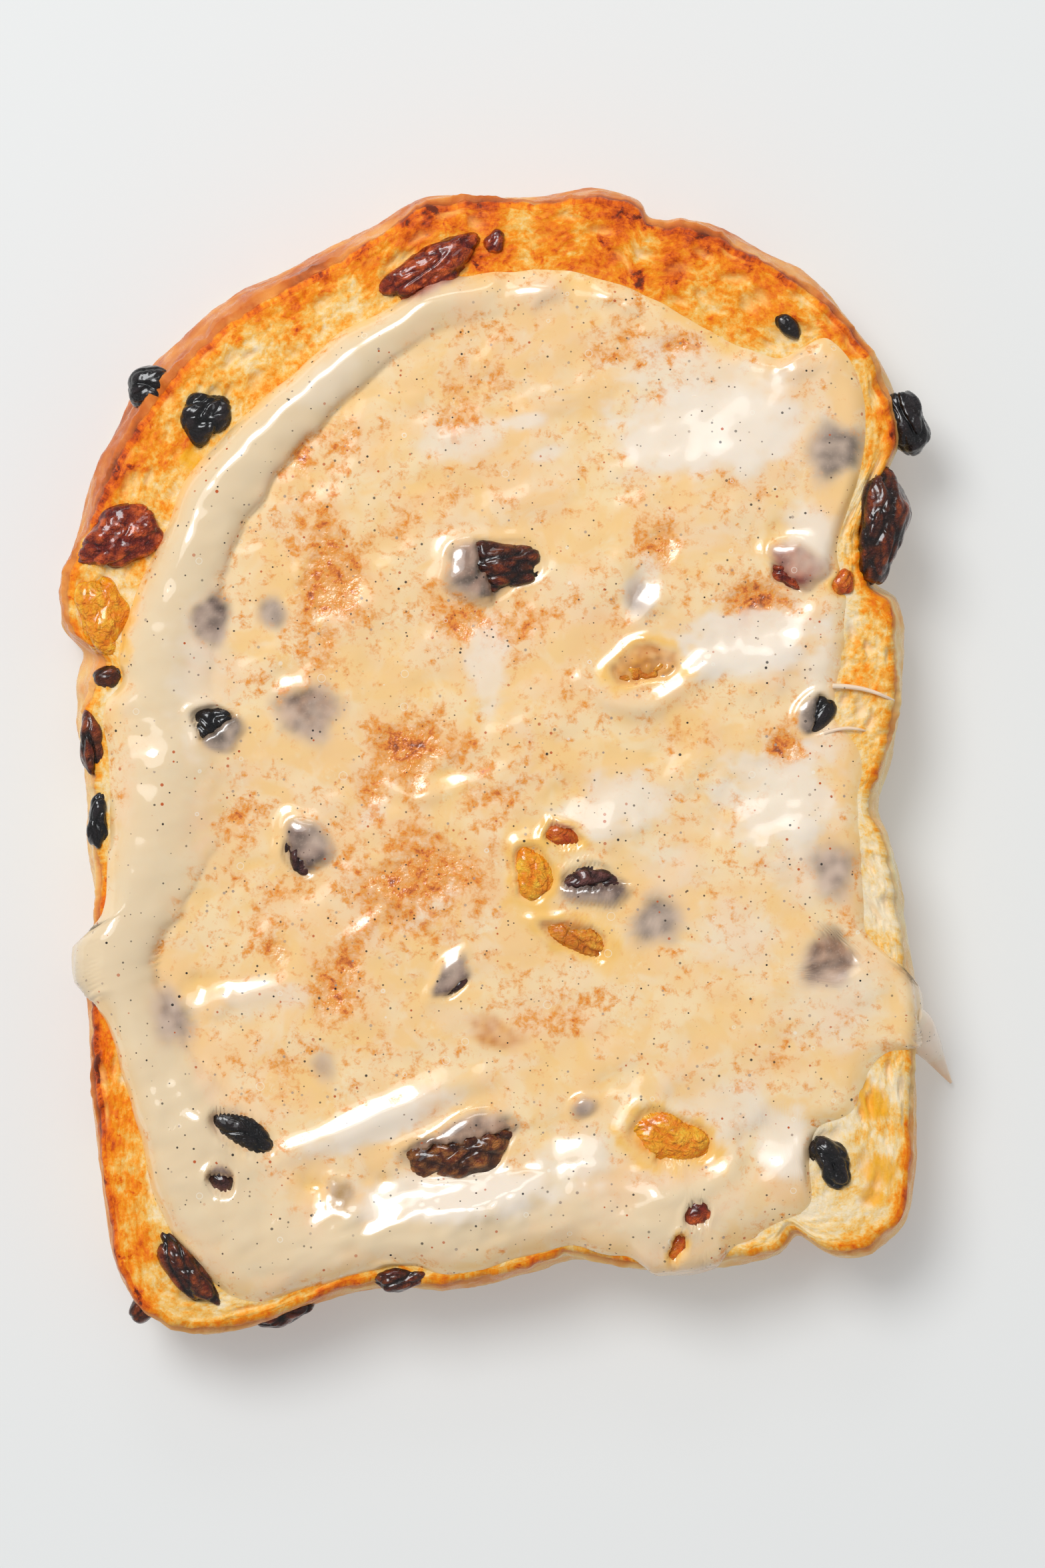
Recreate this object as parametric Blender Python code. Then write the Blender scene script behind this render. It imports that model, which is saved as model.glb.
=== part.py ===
"""A thick slice of toasted fruit loaf, buttered and glazed, lying flat on its underside.

The slice is one solid: a tin-loaf outline with a domed top, carried down its crust to a flat underside.
The butter glaze is one sheet that follows the cut face, thickens to a rope along the left and lower edges,
and hangs over the crust in lobes. Each dried fruit is a lump of its own, seated in a pocket of the crumb.

Plan positions are in millimetres: +X to the slice's right, +Y to its domed top, +Z up from the underside.
"""

import math
from typing import NamedTuple

import bmesh
import bpy
import numpy as np

MM = 0.001

# Driving dimensions, in millimetres. The shift puts the whole object's middle over the origin.
PLAN_SHIFT = (-1.05, -0.18)
SLICE_THICKNESS = 16.0
SEAT_GAP = 0.3
FRUIT_GAP = 0.35
SHOULDER_INSET = 0.3
SHOULDER_DROP = 0.22
FOOT_RADIUS = 0.9
SIDE_BULGE = 0.7
BASE_FLARE = 1.3
FILM_DEPTH = 0.95
ROPE_DEPTH = 2.1
ROPE_WIDTH = 5.2
BORDER_SINK = 2.6
BORDER_EDGE = 0.62
HANG_PER_OVERHANG = 1.9
COLUMN_RISE = 8.0

# Where the crust leans out further, or less: direction and width in degrees, and how much at the underside
FLARES = [(127, 24, 3.6), (62, 12, 0.9), (167, 4, 2.6), (153, 8, -0.8), (-130, 14, -0.8)]

# The crust's wrinkles: how many round the slice, how deep, and how they slant with height
WRINKLES = [(17, 0.22, 0.5), (29, 0.16, 0.0), (9, 0.1, -1.0)]

# How finely each shape is divided
SPOKES = 96
FACE_RINGS = (0.96, 0.8, 0.45)
CRUST_SHARES = (0.1, 0.4, 0.78)
GLAZE_RINGS = (0.955, 0.9, 0.83, 0.7, 0.5, 0.26)
LUMP_LATITUDES = (-46, 0, 36, 66)
CURVE_STEPS = 10

# A fruit's middle lying deeper than this below the face sits in the crust, in a pocket open to the side
SIDE_SINK = 4.0

# The cut face's rim, from the top of the dome round by the left, the foot and the right
RIM = [
    (0, 65.3), (-9, 64.5), (-17.5, 59.2), (-27, 54), (-33.5, 49.5), (-39.5, 43), (-44.5, 35.5), (-48, 27.5),
    (-50.3, 21), (-49.8, 15.5), (-46.2, 12), (-47.5, 8), (-48.6, 4), (-47.2, -1.5), (-47.3, -8), (-46.5, -14),
    (-47.3, -25), (-47.3, -36), (-46, -49), (-44.3, -59), (-41, -64), (-34.5, -66), (-27, -64.6), (-19, -61.5),
    (-13, -60.4), (-7, -60.8), (3.5, -58.6), (9, -57), (16.5, -58.5), (25, -57.8), (32, -57), (34.6, -54.4),
    (37, -56.3), (41, -57), (45.5, -54.5), (47.6, -50.5), (47.8, -40), (48, -30), (47, -22), (45, -10),
    (43, -4.5), (44.8, 1), (46, 9), (45.6, 18), (42.8, 21), (42.2, 28), (45, 34.5), (46.2, 38.5),
    (43.5, 46.5), (39.8, 51.5), (34.9, 55.8), (29.5, 59), (23.5, 62), (17, 62.8), (16.3, 64.7), (11.5, 66),
    (5.5, 65.2),
]

# The glaze's border, the same way round; past the rim it hangs down the crust
BORDER = [
    (-4, 56.6), (-8.5, 56), (-13, 52.8), (-18, 50.5), (-25, 44.5), (-31, 39.3), (-36.5, 33), (-39.6, 25.6),
    (-43.2, 18), (-44.6, 13), (-44, 9.6), (-46, 7), (-46.2, 4), (-45.6, 0), (-45.4, -6), (-45.8, -12),
    (-46.4, -18), (-49.8, -21.4), (-50.6, -23.5), (-49.2, -25.8), (-45.8, -30), (-44.3, -35), (-42, -42.5),
    (-40.5, -49.5), (-37.5, -56), (-33, -61), (-28.5, -63), (-24, -61.6), (-15, -59.2), (-11, -58.4),
    (-6, -59.7), (0, -58.4), (5.5, -56.8), (9, -56.2), (12, -57.6), (15, -57.4), (17.5, -59.4),
    (21, -60.6), (24.5, -59.6),
    (28, -56), (34.2, -53), (36.6, -51), (35.8, -47), (37, -42.6), (41, -41), (42.5, -37), (45.4, -33.8),
    (49.2, -33.2), (51.4, -31), (51, -28.5), (49, -26), (46.6, -23), (43.2, -21.5), (42.4, -14), (41.8, -5),
    (42.4, -0.5), (41, 3), (39, 5.4), (39.8, 12), (40.4, 19), (39.4, 24), (40, 27.5), (42.2, 34.5),
    (42.8, 40), (41.5, 46), (39, 49.2), (36.8, 50.2), (35.4, 48), (33, 46.9), (27, 49.3), (21.5, 52),
    (18, 54.2), (10, 57), (3, 57.5),
]

# The middle line of the thick rope of glaze: down the left side, then along the foot
ROPE = [
    (-6, 54), (-17, 46.5), (-28, 37), (-35, 26), (-38.5, 14), (-40, 0), (-41, -12), (-43, -24), (-40, -36),
    (-36, -48), (-29, -57), (-17, -56.5), (-6, -56), (6, -53.5), (19, -54.5), (28, -52),
]

# The thin tail of glaze that has run off the right lobe: x, y, z and radius
TAIL = [(48.6, -31.4, 11.5, 1.9), (50.2, -32.8, 7.0, 1.6), (51.6, -34.6, 3.2, 1.2), (53.4, -37.4, 1.4, 0.6)]

CRUMB = (0.86, 0.62, 0.3)
GLAZE = (0.88, 0.78, 0.64)
FRUIT_COLOURS = {
    "raisin": (0.09, 0.035, 0.02),
    "currant": (0.02, 0.018, 0.02),
    "sultana": (0.72, 0.36, 0.05),
    "peel": (0.55, 0.18, 0.03),
}


class Fruit(NamedTuple):
    """One dried fruit: its place in plan, half sizes, turn in plan, and its middle's depth below the face."""

    name: str
    x: float
    y: float
    half_length: float
    half_width: float
    half_height: float
    turn: float
    sink: float
    shows: bool  # True where it stands through the glaze or lies clear of it


FRUITS = [
    Fruit("raisin_top", -8.0, 57.4, 6.4, 2.7, 2.6, 30, 1.2, True),
    Fruit("raisin_top_tip", -0.6, 60.6, 1.5, 1.2, 1.2, 60, 0.4, True),
    Fruit("currant_crust_left", -40.9, 43.9, 2.9, 2.7, 2.7, 20, 4.6, True),
    Fruit("currant_top_left", -34.3, 40.1, 3.3, 2.9, 2.4, 40, 1.2, True),
    Fruit("raisin_red_left", -44.0, 26.2, 5.0, 3.5, 2.7, 25, 1.2, True),
    Fruit("sultana_left", -46.2, 17.2, 5.0, 3.0, 2.6, 100, 1.6, True),
    Fruit("currant_skin_left", -45.6, 10.0, 1.8, 1.4, 1.4, 10, 1.0, True),
    Fruit("raisin_rim_left", -47.4, 2.4, 3.9, 1.6, 2.2, 94, 1.8, True),
    Fruit("currant_rim_left", -46.7, -6.8, 3.3, 1.3, 1.8, 88, 1.2, True),
    Fruit("raisin_deep_left", -33.5, 16.6, 3.2, 2.3, 1.9, 80, 2.3, False),
    Fruit("currant_deep_left", -26.4, 17.4, 2.0, 1.6, 1.5, 110, 2.0, False),
    Fruit("currant_mid_left", -32.8, 4.0, 3.1, 2.6, 2.2, -40, 0.9, True),
    Fruit("raisin_mid_left", -22.2, 5.8, 3.9, 3.6, 2.2, 0, 2.5, False),
    Fruit("raisin_low_left", -22.6, -9.8, 3.4, 2.9, 2.2, 100, 0.9, True),
    Fruit("raisin_centre", -0.9, 22.6, 5.9, 3.5, 2.8, 8, 0.9, True),
    Fruit("currant_top_right", 33.6, 50.8, 1.9, 1.1, 1.2, -45, 0.7, True),
    Fruit("raisin_crust_right", 47.6, 39.9, 3.8, 2.7, 2.8, 110, 5.6, True),
    Fruit("raisin_veiled_right", 38.9, 36.2, 3.7, 3.2, 2.4, 60, 2.7, False),
    Fruit("raisin_rim_right", 44.4, 27.6, 6.6, 2.9, 3.0, 82, 1.4, True),
    Fruit("raisin_upper_right", 34.4, 22.8, 3.5, 2.8, 2.1, -20, 0.9, True),
    Fruit("peel_upper_right", 40.0, 20.9, 1.7, 1.3, 1.2, 70, 0.5, True),
    Fruit("currant_hollow_right", 16.2, 19.2, 2.3, 1.7, 1.6, 100, 2.0, False),
    Fruit("sultana_hollow_right", 16.9, 11.4, 4.2, 2.3, 1.9, 12, 1.2, True),
    Fruit("currant_slant_right", 36.8, 5.6, 2.7, 2.0, 1.7, 50, 0.8, True),
    Fruit("raisin_deep_right", 38.6, -12.4, 3.6, 2.6, 2.1, 100, 2.5, False),
    Fruit("raisin_brown_right", 38.2, -23.0, 3.7, 3.2, 2.1, 60, 2.4, False),
    Fruit("sultana_group_gold", 3.8, -12.9, 3.4, 2.4, 2.2, 100, 0.9, True),
    Fruit("sultana_group_amber", 7.2, -8.4, 2.2, 1.4, 1.6, -15, 0.7, True),
    Fruit("raisin_group", 10.9, -14.2, 4.1, 2.3, 2.2, -6, 0.8, True),
    Fruit("sultana_group_low", 8.9, -20.3, 4.3, 1.9, 1.8, -22, 1.0, True),
    Fruit("currant_group_deep", 18.2, -18.3, 3.5, 2.9, 2.1, 40, 2.5, False),
    Fruit("raisin_slant_low", -5.6, -25.0, 3.0, 1.7, 1.7, 55, 0.8, True),
    Fruit("sultana_deep_low", -0.6, -31.4, 3.7, 1.9, 1.7, -25, 2.1, False),
    Fruit("raisin_lower_left", -38.1, -29.5, 3.7, 2.4, 1.9, 110, 2.3, False),
    Fruit("currant_deep_low", -20.5, -35.3, 1.9, 1.4, 1.4, 100, 1.9, False),
    Fruit("raisin_leaf_low", -29.8, -42.9, 4.3, 1.9, 2.2, -28, 0.6, True),
    Fruit("currant_purple_low", -32.3, -48.3, 1.9, 1.6, 1.8, 120, 0.3, True),
    Fruit("raisin_large_low", -4.4, -44.7, 7.0, 3.5, 2.8, 20, 1.0, True),
    Fruit("sultana_small_low", -18.4, -50.1, 2.0, 1.6, 1.6, 110, 0.9, True),
    Fruit("sultana_gold_low", 19.6, -43.6, 5.2, 3.0, 2.3, -14, 1.1, True),
    Fruit("currant_speck_low", 9.7, -40.0, 1.5, 1.1, 1.1, 25, 0.4, True),
    Fruit("raisin_lower_right", 38.5, -46.2, 3.4, 2.2, 2.2, -52, 0.8, True),
    Fruit("currant_red_low", 22.9, -52.4, 1.8, 1.4, 1.5, 30, -0.2, True),
    Fruit("peel_flake_low", 20.7, -56.2, 1.8, 0.9, 1.0, 62, 0.2, True),
    Fruit("raisin_corner_left", -36.4, -59.0, 5.2, 2.0, 2.3, -50, 0.9, True),
    Fruit("raisin_rim_low", -11.6, -60.0, 3.1, 1.6, 2.0, 4, 1.4, True),
    Fruit("raisin_crust_low", -25.6, -64.4, 3.5, 1.7, 2.2, 15, 6.0, True),
    Fruit("currant_crust_corner", -41.8, -64.0, 1.9, 1.5, 1.6, 40, 5.0, True),
]


def smooth_loop(points, steps=CURVE_STEPS):
    """A closed Catmull-Rom curve through the points, as rows of x, y."""
    knots = np.array(points, float)
    before, after, beyond = np.roll(knots, 1, 0), np.roll(knots, -1, 0), np.roll(knots, -2, 0)
    rows = []
    for t in np.linspace(0, 1, steps, endpoint=False):
        rows.append(
            0.5
            * (
                2 * knots
                + (after - before) * t
                + (2 * before - 5 * knots + 4 * after - beyond) * t**2
                + (3 * knots - before - 3 * after + beyond) * t**3
            )
        )
    return np.stack(rows, 1).reshape(-1, 2)


def reach_of(points):
    """The distance from the origin to a closed outline, as a function of the direction in radians."""
    loop = smooth_loop(points)
    direction = np.arctan2(loop[:, 1], loop[:, 0])
    order = np.argsort(direction)
    distance = np.hypot(loop[:, 0], loop[:, 1])
    return lambda angle: np.interp(angle, direction[order], distance[order], period=2 * math.pi)


rim_reach = reach_of(RIM)
border_reach = reach_of(BORDER)
ANGLES = np.linspace(-math.pi, math.pi, SPOKES, endpoint=False)


def bump(angle, centre_deg, width_deg):
    """A soft hump of height 1 about one direction."""
    away = np.angle(np.exp(1j * (angle - math.radians(centre_deg))))
    return np.exp(-((away / math.radians(width_deg)) ** 2))


def flare(angle):
    """How far the crust at the underside stands outside the cut face's rim."""
    return BASE_FLARE + sum(amount * bump(angle, centre, width) for centre, width, amount in FLARES)


def crag(angle, height):
    """The crust's uneven wrinkles, up to about half a millimetre."""
    return sum(depth * np.sin(count * angle + slant * height + count) for count, depth, slant in WRINKLES)


def face_height(x, y):
    """The height of the cut face: nearly flat, with the shallow waves of a hand-cut slice."""
    return (
        SLICE_THICKNESS
        + 0.28 * np.sin(x / 7 + 1) * np.cos(y / 9)
        + 0.16 * np.sin(x / 4.1 + y / 5.3)
        - 0.5 * np.exp(-(((x - 16.5) / 6) ** 2) - ((y - 14) / 7) ** 2)
    )


def ring(reach, height):
    """One loop of points round the origin. Height is a number, an array, or a function of x and y."""
    x, y = reach * np.cos(ANGLES), reach * np.sin(ANGLES)
    z = height(x, y) if callable(height) else np.broadcast_to(height, x.shape)
    return np.stack([x, y, z], 1)


def slice_rings(grown=0.0):
    """The slice's loops from its face, over the rim and down the crust to the underside, grown by a gap."""

    def top(x, y):
        return face_height(x, y) + grown

    def shoulder(x, y):
        return top(x, y) - SHOULDER_DROP

    rim = rim_reach(ANGLES)
    rings = [ring(rim * share, top) for share in reversed(FACE_RINGS)]
    rings.append(ring(rim - SHOULDER_INSET + grown, shoulder))
    for share in CRUST_SHARES:
        height = SLICE_THICKNESS * (1 - share)
        leaning = flare(ANGLES) * share**0.8 + SIDE_BULGE * math.sin(math.pi * share)
        rings.append(ring(rim + leaning + crag(ANGLES, height) + grown, height))
    foot = rim + flare(ANGLES)
    rings.append(ring(foot + grown, FOOT_RADIUS))
    rings.append(ring(foot - FOOT_RADIUS + grown, -grown))
    return rings


def distance_to_path(x, y, path):
    """The distance in plan from points to a line drawn through the path's points."""
    nearest = np.full(np.shape(x), np.inf)
    for (ax, ay), (bx, by) in zip(path, path[1:]):
        dx, dy = bx - ax, by - ay
        along = np.clip(((x - ax) * dx + (y - ay) * dy) / (dx * dx + dy * dy), 0, 1)
        nearest = np.minimum(nearest, np.hypot(x - ax - along * dx, y - ay - along * dy))
    return nearest


def glaze_depth(x, y):
    """The glaze's depth over the face: a film, the rounded rope, and a low swelling over each hidden fruit."""
    depth = FILM_DEPTH + 0.2 * np.sin(x / 9 - 0.6) * np.sin(y / 8)
    away = distance_to_path(x, y, ROPE)
    depth = depth + ROPE_DEPTH * np.clip(1 - (away / ROPE_WIDTH) ** 2, 0, 1) ** 0.8
    for fruit in FRUITS:
        if not fruit.shows:
            near = np.hypot(x - fruit.x, y - fruit.y) / fruit.half_length
            depth = depth + 0.35 * np.exp(-(near**2))
    return depth


def glaze_top(x, y):
    return face_height(x, y) + glaze_depth(x, y)


def glaze_edge(x, y):
    return face_height(x, y) + BORDER_EDGE


def glaze_rings():
    """The glaze's loops: from below, out to its border, down any lobe past the rim, and back over its top."""
    border, rim = border_reach(ANGLES), rim_reach(ANGLES)
    overhang = np.clip(border - rim, 0, None)
    within = np.minimum(border, rim)
    floor = SLICE_THICKNESS - BORDER_SINK
    foot = floor - HANG_PER_OVERHANG * overhang
    rings = [ring(within * share, floor) for share in (0.3, 0.65)]
    rings += [
        ring(within - 1.6, floor),
        ring(border - 0.5 - 0.3 * overhang, foot),
        ring(border - 0.1, foot + 0.7),
        ring(border + 0.15, 0.5 * (foot + SLICE_THICKNESS)),
        ring(border - 0.25 - 0.2 * overhang, glaze_edge),
        ring(border - 1.1 - 0.5 * overhang, glaze_top),
    ]
    rings += [ring((border - 1.5) * share, glaze_top) for share in GLAZE_RINGS]
    return rings


def lofted(name, rings, first, last=None):
    """A closed mesh object: loops joined by quads, each end closed by a fan to a point or by one flat face."""
    shape = bmesh.new()
    loops = [[shape.verts.new(point * MM) for point in loop] for loop in rings]
    for near, far in zip(loops, loops[1:]):
        count = len(near)
        for i in range(count):
            k = (i + 1) % count
            shape.faces.new((near[i], near[k], far[k], far[i]))
    for loop, end in ((loops[0], first), (loops[-1], last)):
        if end is None:
            shape.faces.new(loop)
            continue
        tip = shape.verts.new(np.array(end, float) * MM)
        for i in range(len(loop)):
            shape.faces.new((loop[i], loop[(i + 1) % len(loop)], tip))
    bmesh.ops.recalc_face_normals(shape, faces=shape.faces)
    bmesh.ops.triangulate(shape, faces=shape.faces)
    mesh = bpy.data.meshes.new(name)
    shape.to_mesh(mesh)
    shape.free()
    made = bpy.data.objects.new(name, mesh)
    made.parent = bpy.data.objects["toast"]
    bpy.context.scene.collection.objects.link(made)
    return made


def slice_solid(name, grown=0.0):
    """The slice as a solid, or its grown copy that keeps the glaze clear of it."""
    top = face_height(0.0, 0.0) + grown
    return lofted(name, slice_rings(grown), (0, 0, top))


def wrinkled(around, level, seed):
    """A dried skin's folds: a share of the radius, by the direction round the fruit and the height on it."""
    broad = 0.09 * np.sin(3 * around + seed) * math.cos(level)
    return 1 + broad + 0.06 * np.sin(5 * around - 2 * seed + 3 * level)


def fruit_solid(name, fruit, seed, grown=0.0, column=False):
    """A wrinkled lump, placed and turned in its seat. A column carries its widest loop straight up, to cut."""
    sides = 12 if fruit.half_length > 5 else 9 if fruit.half_length > 2.4 else 7
    around = np.linspace(0, 2 * math.pi, sides, endpoint=False)

    def loop(latitude, rise):
        level = math.radians(latitude)
        share = wrinkled(around, level, seed) * math.cos(level)
        along = (fruit.half_length * share + grown * math.cos(level)) * np.cos(around)
        across = (fruit.half_width * share + grown * math.cos(level)) * np.sin(around)
        height = (fruit.half_height + grown) * math.sin(level) + rise
        return np.stack([along, across, np.full(sides, height)], 1)

    tip = fruit.half_height + grown
    if column:
        rings = [loop(latitude, 0) for latitude in LUMP_LATITUDES if latitude <= 0]
        rings.append(loop(0, COLUMN_RISE))
        made = lofted(name, rings, (0, 0, -tip))
    else:
        rings = [loop(latitude, 0) for latitude in LUMP_LATITUDES]
        made = lofted(name, rings, (0, 0, -tip), (0, 0, tip))
    middle = float(face_height(fruit.x, fruit.y)) - fruit.sink
    made.location = (fruit.x * MM, fruit.y * MM, middle * MM)
    made.rotation_euler.z = math.radians(fruit.turn)
    return made


def tail_solid():
    """The tapering tail of glaze: circles of falling radius along a curve, from the lobe almost to the foot.

    Each circle leans outwards, so its own up-down share is half its radius.
    """
    around = np.linspace(0, 2 * math.pi, 10, endpoint=False)
    rings = []
    for x, y, z, radius in TAIL:
        circle = np.stack([np.cos(around), np.sin(around), -0.5 * np.cos(around)], 1)
        rings.append(np.array([x, y, z]) + radius * circle)
    (x, y, z, _), (end_x, end_y, _, _) = TAIL[0], TAIL[-1]
    return lofted("tail", rings, (x - 0.4, y + 0.3, z + 0.6), (end_x + 0.7, end_y - 1.1, 0.8))


def clear_scene():
    for item in list(bpy.data.objects):
        bpy.data.objects.remove(item, do_unlink=True)


def helper(item, collection):
    """Turns an object into a cutter: out of the render, and in its own collection."""
    item.hide_render = True
    item.display_type = "WIRE"
    bpy.context.scene.collection.objects.unlink(item)
    collection.objects.link(item)


def cutting_collection(name):
    made = bpy.data.collections.new(name)
    made.hide_render = True
    bpy.context.scene.collection.children.link(made)
    return made


def cut_with(target, collection):
    """Takes every solid of the collection away from the target."""
    step = target.modifiers.new(collection.name, "BOOLEAN")
    step.operation = "DIFFERENCE"
    step.operand_type = "COLLECTION"
    step.collection = collection
    step.solver = "EXACT"


def join_with(target, other):
    step = target.modifiers.new(other.name, "BOOLEAN")
    step.operation = "UNION"
    step.object = other
    step.solver = "EXACT"


def finish(item, colour, roughness):
    """One plain material, and smooth shading except across sharp edges."""
    material = bpy.data.materials.new(item.name)
    material.use_nodes = True
    shader = material.node_tree.nodes["Principled BSDF"]
    shader.inputs["Base Color"].default_value = (*colour, 1)
    shader.inputs["Roughness"].default_value = roughness
    shader.inputs["Metallic"].default_value = 0.0
    item.data.materials.append(material)
    item.data.shade_smooth()
    item.data.set_sharp_from_angle(angle=math.radians(40))


def build():
    clear_scene()
    middle = bpy.data.objects.new("toast", None)
    middle.location = (PLAN_SHIFT[0] * MM, PLAN_SHIFT[1] * MM, 0)
    bpy.context.scene.collection.objects.link(middle)
    pockets, openings, clearance = (cutting_collection(name) for name in ("pockets", "openings", "clearance"))

    bread = slice_solid("bread_slice")
    crown = float(glaze_top(0.0, 0.0))
    glaze = lofted("butter_glaze", glaze_rings(), (0, 0, SLICE_THICKNESS - BORDER_SINK), (0, 0, crown))
    for seed, fruit in enumerate(FRUITS):
        lump = fruit_solid(fruit.name, fruit, seed)
        finish(lump, FRUIT_COLOURS[fruit.name.split("_")[0]], 0.35)
        pocket = fruit_solid(fruit.name + "_pocket", fruit, seed, FRUIT_GAP, fruit.sink < SIDE_SINK)
        helper(pocket, pockets)
        if fruit.shows:
            openings.objects.link(pocket)

    tail = tail_solid()
    join_with(glaze, tail)
    helper(tail, cutting_collection("tail_piece"))
    helper(slice_solid("bread_clearance", SEAT_GAP), clearance)
    cut_with(glaze, clearance)
    cut_with(glaze, openings)
    cut_with(bread, pockets)
    finish(bread, CRUMB, 0.7)
    finish(glaze, GLAZE, 0.2)


build()
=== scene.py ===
"""The looks of a thick slice of buttered fruit toast: toasted crumb, wrinkled fruit and a milky glaze.

Plan positions are in millimetres in the slice's own plan, as in the part's source: +X right, +Y to the domed
top, +Z up from the flat underside. Every piece is a grid of points worked out with numpy, and put_in_mesh
turns it into a mesh in metres.
"""

import math
from typing import NamedTuple

import bpy
import numpy as np
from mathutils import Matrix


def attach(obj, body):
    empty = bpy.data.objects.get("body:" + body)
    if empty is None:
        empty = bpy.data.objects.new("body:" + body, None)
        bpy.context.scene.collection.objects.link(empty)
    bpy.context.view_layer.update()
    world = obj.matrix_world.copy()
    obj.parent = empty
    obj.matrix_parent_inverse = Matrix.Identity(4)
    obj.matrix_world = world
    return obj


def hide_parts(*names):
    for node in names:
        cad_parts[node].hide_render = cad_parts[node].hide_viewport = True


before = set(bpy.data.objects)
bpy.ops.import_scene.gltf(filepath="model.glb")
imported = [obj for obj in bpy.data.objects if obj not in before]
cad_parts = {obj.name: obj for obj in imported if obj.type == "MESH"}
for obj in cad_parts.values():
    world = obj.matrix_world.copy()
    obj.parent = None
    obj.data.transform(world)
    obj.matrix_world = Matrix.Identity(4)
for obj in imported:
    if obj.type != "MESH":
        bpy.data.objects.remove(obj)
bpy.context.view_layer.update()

MM = 0.001

# The slice's driving dimensions in millimetres, as in the part's source
PLAN_SHIFT = (-1.05, -0.18)
SLICE_THICKNESS = 16.0
SIDE_BULGE = 0.7
BASE_FLARE = 1.3
FOOT_RADIUS = 0.9
BORDER_SINK = 2.6
HANG_PER_OVERHANG = 1.9

# The radius of the rim's shoulder, the glaze's film over the crumb, how far its hidden underside lies below
# the face, and how far the rim lies from the middle on average
SHOULDER = 1.1
FILM_DEPTH = 0.8
HIDDEN_DEPTH = 2.5
MEAN_REACH = 52

# How full a fruit's shoulders are: 2 is an ellipsoid, more is nearer to a box
FULLNESS = 3.0

# What brings the noise's usual swing to about -1 to 1
NOISE_SWING = 1.7

# A fruit covered less than this never meets the glaze, and only one sunk less than this has a collar of it
WHOLLY_BARE = -1.9
COLLAR_SINK = 1.5

# The window's direction in plan, in degrees, and how strongly the knife's marks and slopes show
WINDOW_DIRECTION = 135
KNIFE_STRENGTH = 0.85

# Where the crust leans out further, or less: direction and width in degrees, and how much at the underside
FLARES = [(127, 24, 3.0), (62, 12, 0.9), (167, 4, 2.6), (153, 8, -0.8), (-130, 14, -0.8)]

# The crust's wrinkles: how many round the slice, how deep, and how they slant with height
WRINKLES = [(17, 0.22, 0.5), (29, 0.16, 0.0), (9, 0.1, -1.0)]

# The cut face's rim, from the top of the dome round by the left, the foot and the right
RIM = [
    (0, 65.3), (-9, 64.5), (-17.5, 59.2), (-27, 54), (-33.5, 49.5), (-39.5, 43), (-44.5, 35.5), (-48, 27.5),
    (-50.3, 21), (-49.8, 15.5), (-46.2, 12), (-47.5, 8), (-48.6, 4), (-47.2, -1.5), (-47.3, -8),
    (-46.5, -14), (-47.3, -25), (-47.3, -36), (-46, -49), (-44.3, -59), (-41, -64), (-34.5, -66),
    (-27, -64.6), (-19, -61.5), (-13, -60.4), (-7, -60.8), (3.5, -58.6), (9, -57), (16.5, -58.5),
    (25, -57.8), (32, -57), (34.6, -54.4), (37, -56.3), (41, -57), (45.5, -54.5), (47.6, -50.5),
    (47.8, -40), (48, -30), (47, -22), (45, -10), (43, -4.5), (44.8, 1), (46, 9), (45.6, 18), (42.8, 21),
    (42.2, 28), (45, 34.5), (46.2, 38.5), (43.5, 46.5), (39.8, 51.5), (34.9, 55.8), (29.5, 59), (23.5, 62),
    (17, 62.8), (16.3, 64.7), (11.5, 66), (5.5, 65.2),
]

# The glaze's border, the same way round; past the rim it hangs down the crust
BORDER = [
    (-4, 56.6), (-8.5, 56), (-13, 52.8), (-18, 50.5), (-25, 44.5), (-31, 39.3), (-36.5, 33), (-39.6, 25.6),
    (-43.2, 18), (-44.6, 13), (-44, 9.6), (-46, 7), (-46.2, 4), (-45.6, 0), (-45.4, -6), (-45.8, -12),
    (-46.4, -18), (-49.8, -21.4), (-50.6, -23.5), (-49.2, -25.8), (-45.8, -30), (-44.3, -35), (-42, -42.5),
    (-40.5, -49.5), (-37.5, -56), (-33, -61), (-28.5, -63), (-24, -61.6), (-15, -59.2), (-11, -58.4),
    (-6, -59.7), (0, -58.4), (5.5, -56.8), (9, -56.2), (12, -57.6), (15, -57.4), (17.5, -59.4), (21, -60.6),
    (24.5, -59.6), (28, -56), (34.2, -53), (36.6, -51), (35.8, -47), (37, -42.6), (41, -41), (42.5, -37),
    (45.4, -33.8), (49.2, -33.2), (51.4, -31), (51, -28.5), (49, -26), (46.6, -23), (43.2, -21.5),
    (42.4, -14), (41.8, -5), (42.4, -0.5), (41, 3), (39, 5.4), (39.8, 12), (40.4, 19), (39.4, 24),
    (40, 27.5), (42.2, 34.5), (42.8, 40), (41.5, 46), (39, 49.2), (36.8, 50.2), (35.4, 48), (33, 46.9),
    (27, 49.3), (21.5, 52), (18, 54.2), (10, 57), (3, 57.5),
]

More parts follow.
